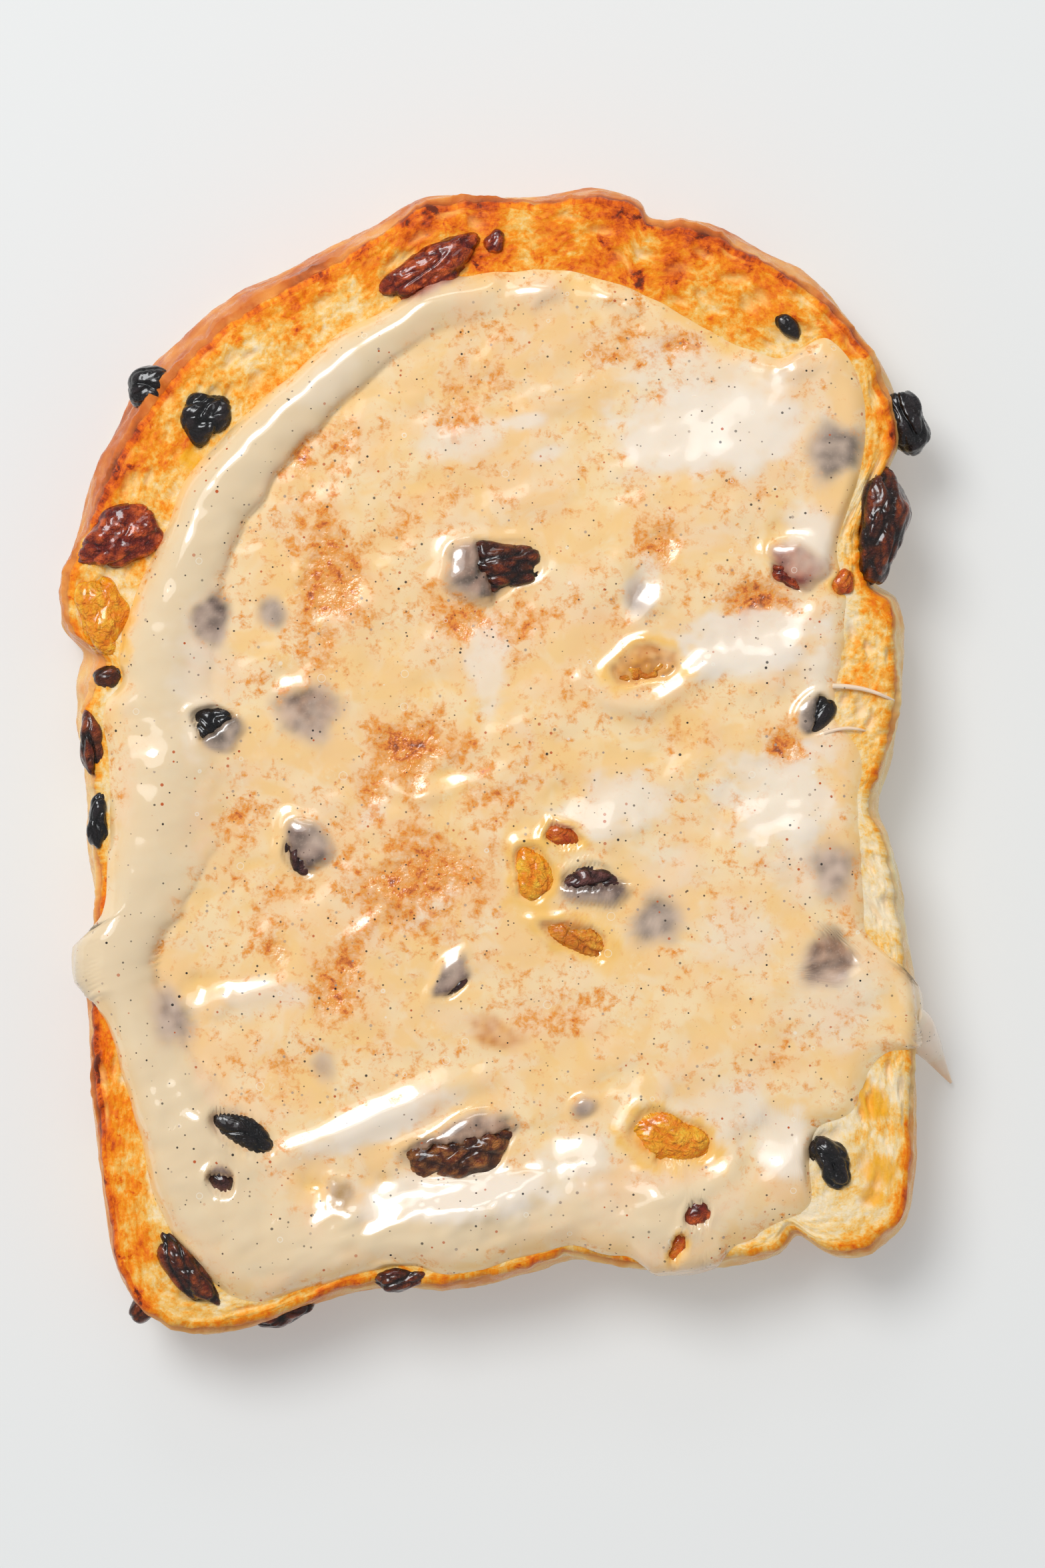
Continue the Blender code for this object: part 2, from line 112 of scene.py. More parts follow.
# The thick rope of glaze down the left side and along the foot: x, y, half width, height, and how sharply
# it meets the film beside it, 0 to 1
ROPE = [
    (6, 55.4, 2.4, 0.3, 0.2), (-2, 54.6, 3.0, 0.7, 0.3), (-10, 52.3, 3.4, 1.3, 0.5),
    (-17, 47.8, 3.9, 1.8, 0.8), (-24, 42.0, 4.4, 2.0, 1.0), (-31, 34.6, 5.0, 2.1, 1.0),
    (-36.0, 26, 5.2, 2.0, 0.9), (-38.5, 16, 5.6, 1.8, 0.3), (-39.5, 8, 6.4, 1.6, 0.1),
    (-39.0, 0, 7.4, 1.4, 0.0), (-39.6, -8, 7.0, 1.5, 0.2), (-42.0, -15, 5.4, 1.9, 0.7),
    (-44.6, -22, 4.6, 2.3, 0.9), (-43.2, -30, 5.0, 2.0, 0.6), (-40.0, -38, 6.4, 1.8, 0.4),
    (-36, -46, 7.8, 1.8, 0.4), (-31, -52.6, 7.8, 1.6, 0.5), (-24, -55.8, 6.8, 1.4, 0.4),
    (-16, -55.0, 6.2, 1.3, 0.4), (-8, -54.3, 6.0, 1.4, 0.3), (2, -53.2, 5.6, 1.3, 0.3),
    (12, -52, 5.4, 1.2, 0.3), (20, -53, 6.0, 1.5, 0.3), (27, -51.5, 4.6, 0.9, 0.2),
    (33, -49, 3.6, 0.5, 0.1),
]

# Narrow ridges where the knife drew the glaze up: each a path of x, y, half width and height
KNIFE_RIDGES = [
    [(-24.5, -45.5, 1.4, 0.5), (-17, -42.6, 1.8, 0.9), (-8, -38.7, 2.0, 0.9), (-2, -36.8, 1.6, 0.4)],
    [(-37.2, -37.5, 1.2, 0.3), (-34.6, -42, 1.4, 0.7), (-32.2, -45.6, 1.2, 0.4)],
    [(9.6, 9.8, 1.0, 0.3), (12.6, 7.2, 1.3, 0.7), (17, 6.4, 1.4, 0.8), (20.6, 8.4, 1.3, 0.6),
     (24, 11.4, 1.6, 0.5)],
    [(22.5, 10.4, 1.6, 0.4), (27.5, 12.4, 2.0, 0.6), (33.5, 13.2, 1.8, 0.5), (36.6, 17, 1.6, 0.4)],
    [(-21, -10.8, 1.0, 0.0), (-15, -14.4, 1.0, 0.35), (-9, -18, 1.0, 0.3), (-4.4, -20.4, 0.9, 0.0)],
    [(-14, -2.2, 0.9, 0.0), (-9.6, -4, 1.0, 0.4), (-4.2, -2.6, 0.9, 0.1)],
    [(-11, -14, 0.9, 0.0), (-16, -19.6, 1.0, 0.35), (-20, -20.8, 0.9, 0.0)],
    [(-36, -28, 1.2, 0.0), (-30, -27.2, 1.3, 0.4), (-24, -26.2, 1.2, 0.0)],
    [(3, -42.8, 1.6, 0.2), (4.6, -47.6, 1.8, 0.6), (-1, -51.5, 1.8, 0.5), (-9, -52, 1.6, 0.3)],
    [(24.6, -40.8, 1.3, 0.3), (27.6, -45.6, 1.5, 0.7), (23.6, -49.2, 1.3, 0.5), (17, -50.6, 1.2, 0.2)],
]

# Gentle slopes of the glaze that face the window: x, y, half sizes, turn in degrees, and the slope
SHEEN_SLOPES = [
    (22.5, 38.3, 12.0, 5.6, 8, 0.055), (9.9, -6.2, 6.0, 3.8, 20, 0.16), (20.3, -0.5, 3.2, 2.6, 30, 0.12),
    (31.0, -6.2, 5.0, 5.6, 80, 0.17), (28.3, 11.2, 7.0, 3.2, 10, 0.16), (16.6, 18.6, 2.0, 3.4, -20, 0.34),
    (34.2, 25.2, 3.0, 2.6, 0, 0.3), (7.8, -45.4, 4.6, 3.6, 30, 0.2), (32.0, -45.0, 2.8, 3.4, 60, 0.3),
    (-1.6, -50.4, 5.0, 3.0, 10, 0.2), (-8.5, -50.6, 8.0, 2.8, 4, 0.24), (-20.2, -51.0, 3.2, 2.2, -30, 0.3),
    (-7.0, 39.5, 4.6, 2.4, 20, 0.07), (4.0, 42.5, 5.0, 2.2, 15, 0.1), (3.2, 55.0, 3.6, 1.5, 5, 0.3),
    (11.6, 55.2, 3.6, 1.5, -18, 0.3), (30.4, 47.6, 5.0, 1.7, -12, 0.26), (36.6, 47.4, 1.6, 2.2, 70, 0.3),
    (-9.0, 14.0, 5.0, 3.0, 30, 0.07), (3.8, 17.0, 3.4, 4.6, 70, 0.05), (3.0, 5.0, 4.6, 2.2, 10, 0.07),
    (-2.6, -1.4, 4.4, 1.8, 8, 0.14), (16.0, -33.0, 6.0, 3.0, 14, 0.06), (27.0, -30.0, 5.0, 3.6, 40, 0.05),
    (40.2, -24.4, 3.0, 3.0, 40, 0.2), (-38.6, 2.0, 4.0, 7.0, 85, 0.1), (1.0, 31.0, 6.0, 2.4, 10, 0.06),
    (-24.0, 9.6, 2.6, 1.4, 20, 0.24), (-33.4, -27.0, 1.8, 2.4, 80, 0.3), (16.8, -36.8, 5.0, 1.8, 12, 0.2),
]

# Where the glaze lies whiter over the crumb, partly thicker milk and partly a painted sheen that stands in
# for broad soft reflections: x, y, half sizes, turn in degrees and strength
MILK_AND_SHEEN_VEILS = [
    (24.0, 38.5, 12.5, 6.0, 5, 1.0), (25.0, 43.0, 13.0, 6.0, -20, 0.7), (2.7, 39.6, 2.8, 1.1, 10, 0.9),
    (5.6, 35.7, 2.4, 1.0, 15, 0.8), (-4.4, 37.4, 6.0, 2.6, 8, 0.7), (28.5, 14.0, 10.5, 4.6, 12, 1.0),
    (32.0, -4.0, 6.5, 8.0, 70, 0.9), (13.0, -5.0, 7.5, 3.8, 18, 0.8), (-1.4, 12.0, 2.8, 6.0, 0, 0.8),
    (36.0, 26.0, 3.5, 5.0, 10, 0.9), (38.5, -27.0, 6.0, 7.0, 0, 0.5), (38.0, 8.0, 3.0, 8.0, 0, 0.7),
    (-34.0, 10.0, 4.0, 9.0, 0, 0.5), (16.5, 20.5, 2.2, 4.2, -20, 0.8), (-4.8, -30.0, 4.0, 2.0, -20, 0.4),
    (-28.0, -27.0, 6.0, 2.4, 5, 0.6), (-8.0, -17.0, 4.0, 1.4, 40, 0.6), (-14.5, -5.4, 3.4, 1.2, 50, 0.6),
    (32.5, -44.0, 4.0, 5.0, 40, 0.9), (-5.0, -49.8, 14.0, 3.4, 4, 0.9), (9.0, -45.5, 4.0, 4.0, 0, 0.7),
    (-14.0, -42.0, 9.0, 2.2, 22, 0.9), (23.0, 26.0, 4.0, 2.0, 10, 0.4), (-20.0, 44.0, 5.0, 2.0, 42, 0.3),
    (20.0, -12.0, 4.4, 4.0, 0, 0.5), (35.0, -12.0, 4.0, 5.0, 0, 0.45), (27.5, -20.0, 5.0, 5.0, 0, 0.5),
    (25.5, -41.0, 8.0, 4.4, 0, 0.6), (-9.0, -14.0, 3.0, 1.6, 40, 0.3),
]

# Where the crumb under the glaze is toasted through: x, y, half sizes and strength
TOASTED_PATCHES = [
    (-23.2, 32.5, 2.6, 6, 0.85), (-20, 22, 4, 10, 0.6), (-10, 30, 8, 3, 0.25), (-27, -20, 3, 8, 0.5),
    (28, -20, 5, 4, 0.15), (24, 36, 8, 6, 0.2), (32, -34, 3, 4, 0.5), (-30, -6, 3, 5, 0.4),
    (4, 1, 5, 3, 0.35), (-19, 18.5, 4.6, 7.5, 0.8), (-8.5, 1, 5.6, 5.4, 0.9), (-9.3, -13, 7, 7.5, 0.86),
    (-17.6, -25, 4.2, 5.6, 0.9), (-25, -35.3, 3, 3, 0.5), (-4.7, 41, 4.4, 5, 0.45),
    (-0.8, 45, 3.6, 3.4, 0.5), (-18.5, 35, 3, 6, 0.5), (18.3, 25.8, 3.2, 3.2, 0.6),
    (29, 17.6, 4.6, 3.8, 0.9), (13, 51, 4, 2.2, 0.4), (-36, 13, 1.2, 3.4, 0.6),
    (-37.6, -15.6, 1.6, 2.4, 0.7), (-2, 17, 8, 4.6, 0.5), (-30, -14, 3, 4, 0.4), (6, -30, 6, 4, 0.3),
    (20, 4, 4, 3, 0.3), (-14, 28, 5, 4, 0.45), (-40.4, -21, 1.4, 3, 0.6), (33.5, 3, 3.4, 3.6, 0.7),
    (14, 48.5, 4.4, 2.6, 0.75), (20.5, 48.8, 4, 2.2, 0.65), (-11, -4.5, 7, 4, 0.9), (-3, -4.6, 4, 3, 0.75),
    (12.5, 16, 3.4, 5, 0.5), (-24, 26, 4, 6, 0.4), (-12, -30, 4, 4, 0.4), (31, -37, 3, 2, 0.3),
]

# How the bare rim is browned, stretch by stretch: its direction and width in degrees, how toasted it is at
# the rim and within, over how many millimetres it pales, and how brown the crust is below
TOASTED_STRETCHES = [
    (70, 12, 0.7, 0.46, 5.0, 0.5), (92, 12, 0.66, 0.54, 5.0, 0.56), (110, 9, 0.48, 0.38, 4.0, 0.6),
    (128, 9, 0.48, 0.36, 4.0, 0.62), (144, 8, 0.68, 0.4, 3.0, 0.66), (158, 7, 0.5, 0.2, 3.0, 0.54),
    (175, 8, 0.4, 0.26, 2.0, 0.34), (-168, 8, 0.44, 0.28, 2.0, 0.3), (-150, 8, 0.8, 0.44, 3.0, 0.5),
    (-136, 9, 0.78, 0.3, 3.0, 0.5), (-118, 10, 0.5, 0.3, 2.0, 0.42), (-96, 14, 0.5, 0.36, 2.0, 0.38),
    (-72, 10, 0.34, 0.26, 2.0, 0.3), (-57, 6, 0.34, 0.14, 2.0, 0.3), (-47, 7, 0.54, 0.12, 2.4, 0.4),
    (-32, 9, 0.26, 0.18, 2.4, 0.2), (-12, 10, 0.16, 0.1, 2.0, 0.18), (6, 9, 0.4, 0.26, 3.0, 0.22),
    (24, 9, 0.34, 0.16, 3.0, 0.24), (40, 8, 0.5, 0.24, 2.6, 0.34), (54, 9, 0.62, 0.32, 4.2, 0.42),
]

# Orange stains that bits of peel have left on the bare crumb: x, y and radius
PEEL_STAINS = [
    (-36.0, 35.2, 1.5), (41.3, -37.6, 2.2), (43.6, -39.6, 2.0), (44.3, -47.6, 2.2), (43.2, -50.4, 1.6),
]

# The thin tail of glaze that has run off the right lobe: x, y, z and radius
TAIL = [
    (47.2, -29.6, 13.2, 2.2), (48.9, -31.2, 10.4, 2.3), (50.2, -32.8, 7.0, 1.9), (51.5, -34.5, 3.8, 1.3),
    (53, -36.8, 1.7, 0.6), (54, -38.3, 1.1, 0.15),
]

# Fine threads of glaze pulled across the right rim: each from x, y to x, y, with its radius
THREADS = [(38.6, 8.9, 45.9, 7.2, 0.26), (37.6, 3.4, 42.9, 3.6, 0.2)]

# The photo's size and the slice's middle in it, in pixels, and its scale at the cut face
PHOTO_WIDTH, PHOTO_HEIGHT = 1568, 2352
SLICE_MIDDLE_PIXEL = (750, 1144)
PIXELS_PER_MM = 12.9

# The stage: the floor's half size and its gap below the slice, in metres, then each light's name, place and
# size in millimetres, and power in watts
FLOOR_HALF_SIZE = 4.0
FLOOR_DROP = 0.0002
LIGHTS = [
    ("window", (-410, 530, 1180), (900, 900), 4.2),
    ("far_window", (-80, 1000, 780), (500, 260), 0.9),
    ("window_core", (-430, 560, 1140), (560, 560), 8.3),
]
DAYLIGHT = (0.965, 0.985, 1.0)


class Fruit(NamedTuple):
    """One dried fruit: its place, half sizes, turn and sink as in the part's source, then its look.

    Cover is the glaze's depth over it in millimetres, less than nothing where it stands bare, and it deepens
    by lean towards one side, given in degrees.
    """

    name: str
    x: float
    y: float
    half_length: float
    half_width: float
    half_height: float
    turn: float
    sink: float
    cover: float
    lean: float
    side: float
    skin: str


FRUITS = [
    Fruit("raisin_top", -8.0, 57.4, 6.4, 2.7, 2.6, 30, 1.2, -0.3, 0.9, -60, "red"),
    Fruit("raisin_top_tip", -0.6, 60.6, 1.5, 1.2, 1.2, 60, 0.4, -2, 0, 0, "red"),
    Fruit("currant_crust_left", -40.9, 43.9, 2.9, 2.7, 2.7, 20, 4.6, -2, 0, 0, "black"),
    Fruit("currant_top_left", -34.3, 40.1, 3.3, 2.9, 2.4, 40, 1.2, -2, 0, 0, "black"),
    Fruit("raisin_red_left", -44.0, 26.2, 5.0, 3.5, 2.7, 25, 1.2, -0.9, 0.6, 0, "red"),
    Fruit("sultana_left", -46.2, 17.2, 5.0, 3.0, 2.6, 100, 1.6, -0.7, 0.5, 0, "gold"),
    Fruit("currant_skin_left", -45.6, 10.0, 1.8, 1.4, 1.4, 10, 1.0, -0.8, 0.3, -80, "dark"),
    Fruit("raisin_rim_left", -47.4, 2.4, 3.9, 1.6, 2.2, 94, 1.8, -0.8, 0.5, 0, "dark"),
    Fruit("currant_rim_left", -46.7, -6.8, 3.3, 1.3, 1.8, 88, 1.2, -0.5, 0.8, 0, "black"),
    Fruit("raisin_deep_left", -33.5, 16.6, 3.2, 2.3, 1.9, 80, 2.3, 0.2, 0.14, -90, "purple"),
    Fruit("currant_deep_left", -26.4, 17.4, 2.0, 1.6, 1.5, 110, 2.0, 0.5, 0.1, 90, "black"),
    Fruit("currant_mid_left", -32.8, 4.0, 3.1, 2.6, 2.2, -40, 0.9, 0.0, 0.4, -50, "black"),
    Fruit("raisin_mid_left", -22.2, 5.8, 3.9, 3.6, 2.2, 0, 2.5, 0.3, 0.2, -90, "brown"),
    Fruit("raisin_low_left", -22.6, -9.8, 3.4, 2.9, 2.2, 100, 0.9, 0.14, 0.3, 45, "purple"),
    Fruit("raisin_centre", -0.9, 22.6, 5.9, 3.5, 2.8, 8, 0.9, -0.08, 0.44, -165, "dark"),
    Fruit("currant_top_right", 33.6, 50.8, 1.9, 1.1, 1.2, -45, 0.7, -2, 0, 0, "black"),
    Fruit("raisin_crust_right", 47.6, 39.9, 3.8, 2.7, 2.8, 110, 5.6, -2, 0, 0, "black"),
    Fruit("raisin_veiled_right", 38.9, 36.2, 3.7, 3.2, 2.4, 60, 2.7, 0.3, 0.28, 180, "black"),
    Fruit("raisin_rim_right", 44.4, 27.6, 6.6, 2.9, 3.0, 82, 1.4, -2, 0, 0, "dark"),
    Fruit("raisin_upper_right", 34.4, 22.8, 3.5, 2.8, 2.1, -20, 0.9, 0.2, 0.4, 45, "red"),
    Fruit("peel_upper_right", 40.0, 20.9, 1.7, 1.3, 1.2, 70, 0.5, -1, 0.4, 180, "peel"),
    Fruit("currant_hollow_right", 16.2, 19.2, 2.3, 1.7, 1.6, 100, 2.0, 0.5, 0.2, 60, "black"),
    Fruit("sultana_hollow_right", 16.9, 11.4, 4.2, 2.3, 1.9, 12, 1.2, 0.02, 0.1, 90, "amber"),
    Fruit("currant_slant_right", 36.8, 5.6, 2.7, 2.0, 1.7, 50, 0.8, -0.02, 0.45, 170, "black"),
    Fruit("raisin_deep_right", 38.6, -12.4, 3.6, 2.6, 2.1, 100, 2.5, 0.56, 0.14, 200, "purple"),
    Fruit("raisin_brown_right", 38.2, -23.0, 3.7, 3.2, 2.1, 60, 2.4, 0.12, 0.2, -110, "brown"),
    Fruit("sultana_group_gold", 3.8, -12.9, 3.4, 2.4, 2.2, 100, 0.9, -0.4, 0.5, -160, "gold"),
    Fruit("sultana_group_amber", 7.2, -8.4, 2.2, 1.4, 1.6, -15, 0.7, -0.2, 0.4, 90, "peel"),
    Fruit("raisin_group", 10.9, -14.2, 4.1, 2.3, 2.2, -6, 0.8, 0.0, 0.4, -90, "purple"),
    Fruit("sultana_group_low", 8.9, -20.3, 4.3, 1.9, 1.8, -22, 1.0, -0.12, 0.3, 90, "amber"),
    Fruit("currant_group_deep", 18.2, -18.3, 3.5, 2.9, 2.1, 40, 2.5, 0.42, 0.1, 0, "black"),
    Fruit("raisin_slant_low", -5.6, -25.0, 3.0, 1.7, 1.7, 55, 0.8, 0.14, 0.24, 120, "purple"),
    Fruit("sultana_deep_low", -0.6, -31.4, 3.7, 1.9, 1.7, -25, 2.1, 0.22, 0.1, 90, "amber"),
    Fruit("raisin_lower_left", -38.1, -29.5, 3.7, 2.4, 1.9, 110, 2.3, 0.6, 0.1, 180, "purple"),
    Fruit("currant_deep_low", -20.5, -35.3, 1.9, 1.4, 1.4, 100, 1.9, 0.8, 0.1, 0, "olive"),
    Fruit("raisin_leaf_low", -29.8, -42.9, 4.3, 1.9, 2.2, -28, 0.6, -0.4, 0.3, -110, "black"),
    Fruit("currant_purple_low", -32.3, -48.3, 1.9, 1.6, 1.8, 120, 0.3, -0.12, 0.34, 90, "purple"),
    Fruit("raisin_large_low", -4.4, -44.7, 7.0, 3.5, 2.8, 20, 1.0, -0.06, 0.44, 100, "brown"),
    Fruit("sultana_small_low", -18.4, -50.1, 2.0, 1.6, 1.6, 110, 0.9, 0.3, 0.2, 180, "olive"),
    Fruit("sultana_gold_low", 19.6, -43.6, 5.2, 3.0, 2.3, -14, 1.1, -0.36, 0.5, -150, "gold"),
    Fruit("currant_speck_low", 9.7, -40.0, 1.5, 1.1, 1.1, 25, 0.4, 0.5, 0.16, 90, "purple"),
    Fruit("raisin_lower_right", 38.5, -46.2, 3.4, 2.2, 2.2, -52, 0.8, -0.35, 0.6, 180, "black"),
    Fruit("currant_red_low", 22.9, -52.4, 1.8, 1.4, 1.5, 30, -0.2, -1.6, 0, 0, "red"),
    Fruit("peel_flake_low", 20.7, -56.2, 1.8, 0.9, 1.0, 62, 0.2, -0.7, 0.2, -90, "peel"),
    Fruit("raisin_corner_left", -36.4, -59.0, 5.2, 2.0, 2.3, -50, 0.9, -0.7, 0.4, 60, "dark"),
    Fruit("raisin_rim_low", -11.6, -60.0, 3.1, 1.6, 2.0, 4, 1.4, -1, 0.2, 90, "dark"),
    Fruit("raisin_crust_low", -25.6, -64.4, 3.5, 1.7, 2.2, 15, 6.0, -2, 0, 0, "dark"),
    Fruit("currant_crust_corner", -41.8, -64.0, 1.9, 1.5, 1.6, 40, 5.0, -2, 0, 0, "dark"),
]


def paint(red, green, blue):
    """A colour given as it looks, 0 to 255, as linear light."""
    seen = np.array([red, green, blue]) / 255
    return np.where(seen <= 0.04045, seen / 12.92, ((seen + 0.055) / 1.055) ** 2.4)


# Each skin's colour, and the lighter colour of its folds' crests: partly the skin's own and partly a painted
# highlight
SKINS = {
    "black": (paint(10, 8, 10), paint(44, 34, 36)),
    "dark": (paint(34, 12, 2), paint(150, 66, 16)),
    "red": (paint(128, 30, 4), paint(226, 100, 32)),
    "brown": (paint(76, 38, 10), paint(182, 112, 48)),
    "purple": (paint(48, 20, 22), paint(120, 72, 66)),
    "gold": (paint(246, 156, 10), paint(255, 196, 60)),
    "amber": (paint(206, 122, 12), paint(246, 176, 58)),
    "olive": (paint(176, 130, 44), paint(226, 180, 96)),
    "peel": (paint(186, 74, 2), paint(240, 140, 30)),
}
BRIGHT_SKINS = ("gold", "amber", "peel")
MILK_THICK = paint(236, 211, 174)
MILK_THIN = paint(253, 213, 166)
MILK_ROSY = paint(249, 204, 172)
# The white of the veils: partly milk and partly a painted sheen
MILK_SHEEN_WHITE = paint(250, 234, 216)
MILK_ON_DARK = paint(218, 191, 169)
GOLDEN_JUICE = paint(252, 194, 92)
CRUMB_PALE = paint(255, 228, 172)
CRUMB_GOLD = paint(255, 202, 112)
CRUMB_YOLK = paint(255, 204, 116)
CRUMB_TOASTED = paint(244, 156, 84)
CRUMB_BROWNED = paint(240, 158, 80)
# The colour inside the crumb's pits: paler than the toasted crumb round them, and darker and warmer than pale
# crumb as painted shade
CRUMB_PIT_AND_SHADE = paint(252, 200, 124)
GRAIN_PALE = paint(255, 244, 210)
GRAIN_GOLD = paint(252, 188, 88)
FLECK_HALO = paint(242, 160, 76)
BUBBLE_RIM_HIGHLIGHT = paint(255, 246, 230)
# The pale ring of a bubble: a painted highlight
PEEL_JUICE = paint(250, 178, 30)

# Colours that deepen from place to place, as it looks from 0 to 255: flecks of crumb under the glaze by how
# far they stand out, then the bare cut and the crust by how toasted they are
FLECK_TONES = [(0.0, (252, 176, 72)), (0.26, (240, 142, 44)), (0.55, (212, 104, 28)), (0.95, (134, 52, 14))]
CUT_TONES = [
    (0.02, (255, 232, 196)), (0.2, (255, 219, 156)), (0.36, (255, 194, 92)), (0.52, (255, 154, 14)),
    (0.7, (240, 112, 0)), (0.86, (196, 70, 0)), (1.0, (108, 36, 4)),
]
CRUST_TONES = [
    (0.08, (255, 230, 176)), (0.32, (252, 198, 122)), (0.52, (238, 152, 70)), (0.7, (208, 106, 38)),
    (0.92, (132, 56, 20)),
]

# Ground spice: dots a millimetre, radius as a share of their spacing, colour, and the share left out
SPICES = [
    (1.1, 0.15, (14, 10, 8), 0.78), (1.6, 0.15, (64, 34, 20), 0.88), (0.8, 0.13, (196, 84, 20), 0.8),
    (1.0, 0.15, (176, 152, 132), 0.86),
]

# Each kind of fruit: its material's name, wrinkles a millimetre, how far light glows through, and the colour
# that deepens its own
FRUIT_FINISHES = {
    "raisin": ("raisin_skin", 0.8, 0.12, (170, 120, 96)),
    "currant": ("currant_skin", 1.1, 0.0, (160, 140, 130)),
    "sultana": ("sultana_skin", 0.7, 0.3, (252, 214, 150)),
    "peel": ("candied_peel", 0.9, 0.3, (240, 190, 110)),
}


def noise(points, seed, repeat=256):
    """Smooth gradient noise, about -1 to 1: a random slope at each corner of a unit lattice, blended."""
    rng = np.random.default_rng(seed)
    order = rng.permutation(repeat)
    slopes = rng.normal(size=(repeat, 3))
    slopes /= np.linalg.norm(slopes, axis=1, keepdims=True)
    cell = np.floor(points).astype(int)
    within = points - cell
    ease = within**3 * (within * (within * 6 - 15) + 10)
    total = np.zeros(len(points))
    for corner in np.ndindex(2, 2, 2):
        index = 0
        for axis in range(3):
            index = order[(index + cell[:, axis] + corner[axis]) % repeat]
        share = np.prod(np.where(corner, ease, 1 - ease), axis=1)
        total += share * np.sum(slopes[index] * (within - corner), axis=1)
    return total * NOISE_SWING


def layered(points, seed, layers=3):
    """Noise over itself: each layer twice as fine and a little over half as strong."""
    return sum(noise(points * 2.0**n, seed + n) * 0.55**n for n in range(layers))


def cells(x, y, seed, columns, rows=64):
    """The distance to the nearest of one random point per unit square, and that point's own number."""
    table = np.random.default_rng(seed).random((columns, rows, 3))
    column, row = np.floor(x).astype(int), np.floor(y).astype(int)
    nearest, number = np.full(x.shape, 9.0), np.zeros(x.shape)
    for along in (-1, 0, 1):
        for across in (-1, 0, 1):
            spot = table[(column + along) % columns, (row + across) % rows]
            away = np.hypot(column + along + spot[..., 0] - x, row + across + spot[..., 1] - y)
            closer = away < nearest
            nearest = np.where(closer, away, nearest)
            number = np.where(closer, spot[..., 2], number)
    return nearest, number


def rise(value, low, high):
    """A smooth step from 0 at low to 1 at high."""
    share = np.clip((value - low) / (high - low), 0, 1)
    return share * share * (3 - 2 * share)


def blend(first, second, share):
    """From the first value to the second by a share of 0 to 1."""
    return first + (second - first) * share


def plan_points(x, y, z=0.0):
    return np.stack([x.ravel(), y.ravel(), np.broadcast_to(z, x.shape).ravel()], 1)


def plan_noise(x, y, wide, tall, seed, layers=3):
    """Layered noise over the plan, its features so many millimetres wide and tall."""
    return layered(plan_points(x / wide, y / tall), seed, layers).reshape(x.shape)


def round_noise(angle, deep, along_mm, deep_mm, seed, layers=3):
    """Layered noise that closes round the slice, with features of so many millimetres along it and across."""
    angle, circle = angle + 0 * deep, MEAN_REACH / along_mm
    points = plan_points(np.cos(angle) * circle, np.sin(angle) * circle, deep / deep_mm)
    return layered(points, seed, layers).reshape(angle.shape)


def turned(x, y, degrees):
    """Plan distances measured along a direction and across it."""
    turn = math.radians(degrees)
    return x * math.cos(turn) + y * math.sin(turn), y * math.cos(turn) - x * math.sin(turn)


def smooth_places(before, here, after, beyond, steps):
    """A Catmull-Rom curve: so many places on the way from each knot here to the one after it."""
    rows = []
    for t in np.linspace(0, 1, steps, endpoint=False):
        bent = (2 * before - 5 * here + 4 * after - beyond) * t**2
        last = (3 * here - before - 3 * after + beyond) * t**3
        rows.append(0.5 * (2 * here + (after - before) * t + bent + last))
    return np.stack(rows, 1).reshape(-1, here.shape[1])


def smooth_loop(points):
    """A closed curve through the points, as rows of x, y."""
    knots = np.array(points, float)
    return smooth_places(np.roll(knots, 1, 0), knots, np.roll(knots, -1, 0), np.roll(knots, -2, 0), 14)


def reach_of(points):
    """The distance from the origin to a closed outline, as a function of the direction in radians."""
    loop = smooth_loop(points)
    direction = np.arctan2(loop[:, 1], loop[:, 0])
    order = np.argsort(direction)
    distance = np.hypot(loop[:, 0], loop[:, 1])
    return lambda angle: np.interp(angle, direction[order], distance[order], period=2 * math.pi)


AROUND = np.linspace(-math.pi, math.pi, 2880, endpoint=False)


def evened(values, degrees):
    """Values given all round the circle, blurred by a bell curve of that width by way of their waves."""
    turns = np.fft.rfftfreq(len(values), 1 / len(values))
    bell = np.exp(-0.5 * (turns * math.radians(degrees)) ** 2)
    return np.fft.irfft(np.fft.rfft(values) * bell, len(values))


def lookup(values):
    """A function of the direction, read between values given all round the circle."""
    return lambda angle: np.interp(angle, AROUND, values, period=2 * math.pi)


rim_reach = lookup(evened(reach_of(RIM)(AROUND), 0.35))
border_reach = lookup(evened(reach_of(BORDER)(AROUND), 0.5))


def bump(angle, centre_deg, width_deg):
    """A soft hump of height 1 about one direction."""
    away = np.angle(np.exp(1j * (angle - math.radians(centre_deg))))
    return np.exp(-((away / math.radians(width_deg)) ** 2))


def flare(angle):
    return BASE_FLARE + sum(amount * bump(angle, centre, width) for centre, width, amount in FLARES)


def crag(angle, height):
    return sum(depth * np.sin(count * angle + slant * height + count) for count, depth, slant in WRINKLES)


def face_height(x, y):
    """The height of the cut face: nearly flat, with the shallow waves of a hand-cut slice."""
    return (
        SLICE_THICKNESS
        + 0.28 * np.sin(x / 7 + 1) * np.cos(y / 9)
        + 0.16 * np.sin(x / 4.1 + y / 5.3)
        - 0.5 * np.exp(-(((x - 16.5) / 6) ** 2) - ((y - 14) / 7) ** 2)
    )


def crust_reach(angle, height):
    """How far out the crust stands at a height: the rim, its lean to the foot, its belly and wrinkles."""
    share = np.clip(1 - height / SLICE_THICKNESS, 0, 1)
    leaning = flare(angle) * share**0.8 + SIDE_BULGE * np.sin(math.pi * share)
    return rim_reach(angle) + leaning + crag(angle, height) * rise(share, 0.0, 0.12)


def put_in_scene(name, data):
    item = bpy.data.objects.new(name, data)
    bpy.context.scene.collection.objects.link(item)
    return item


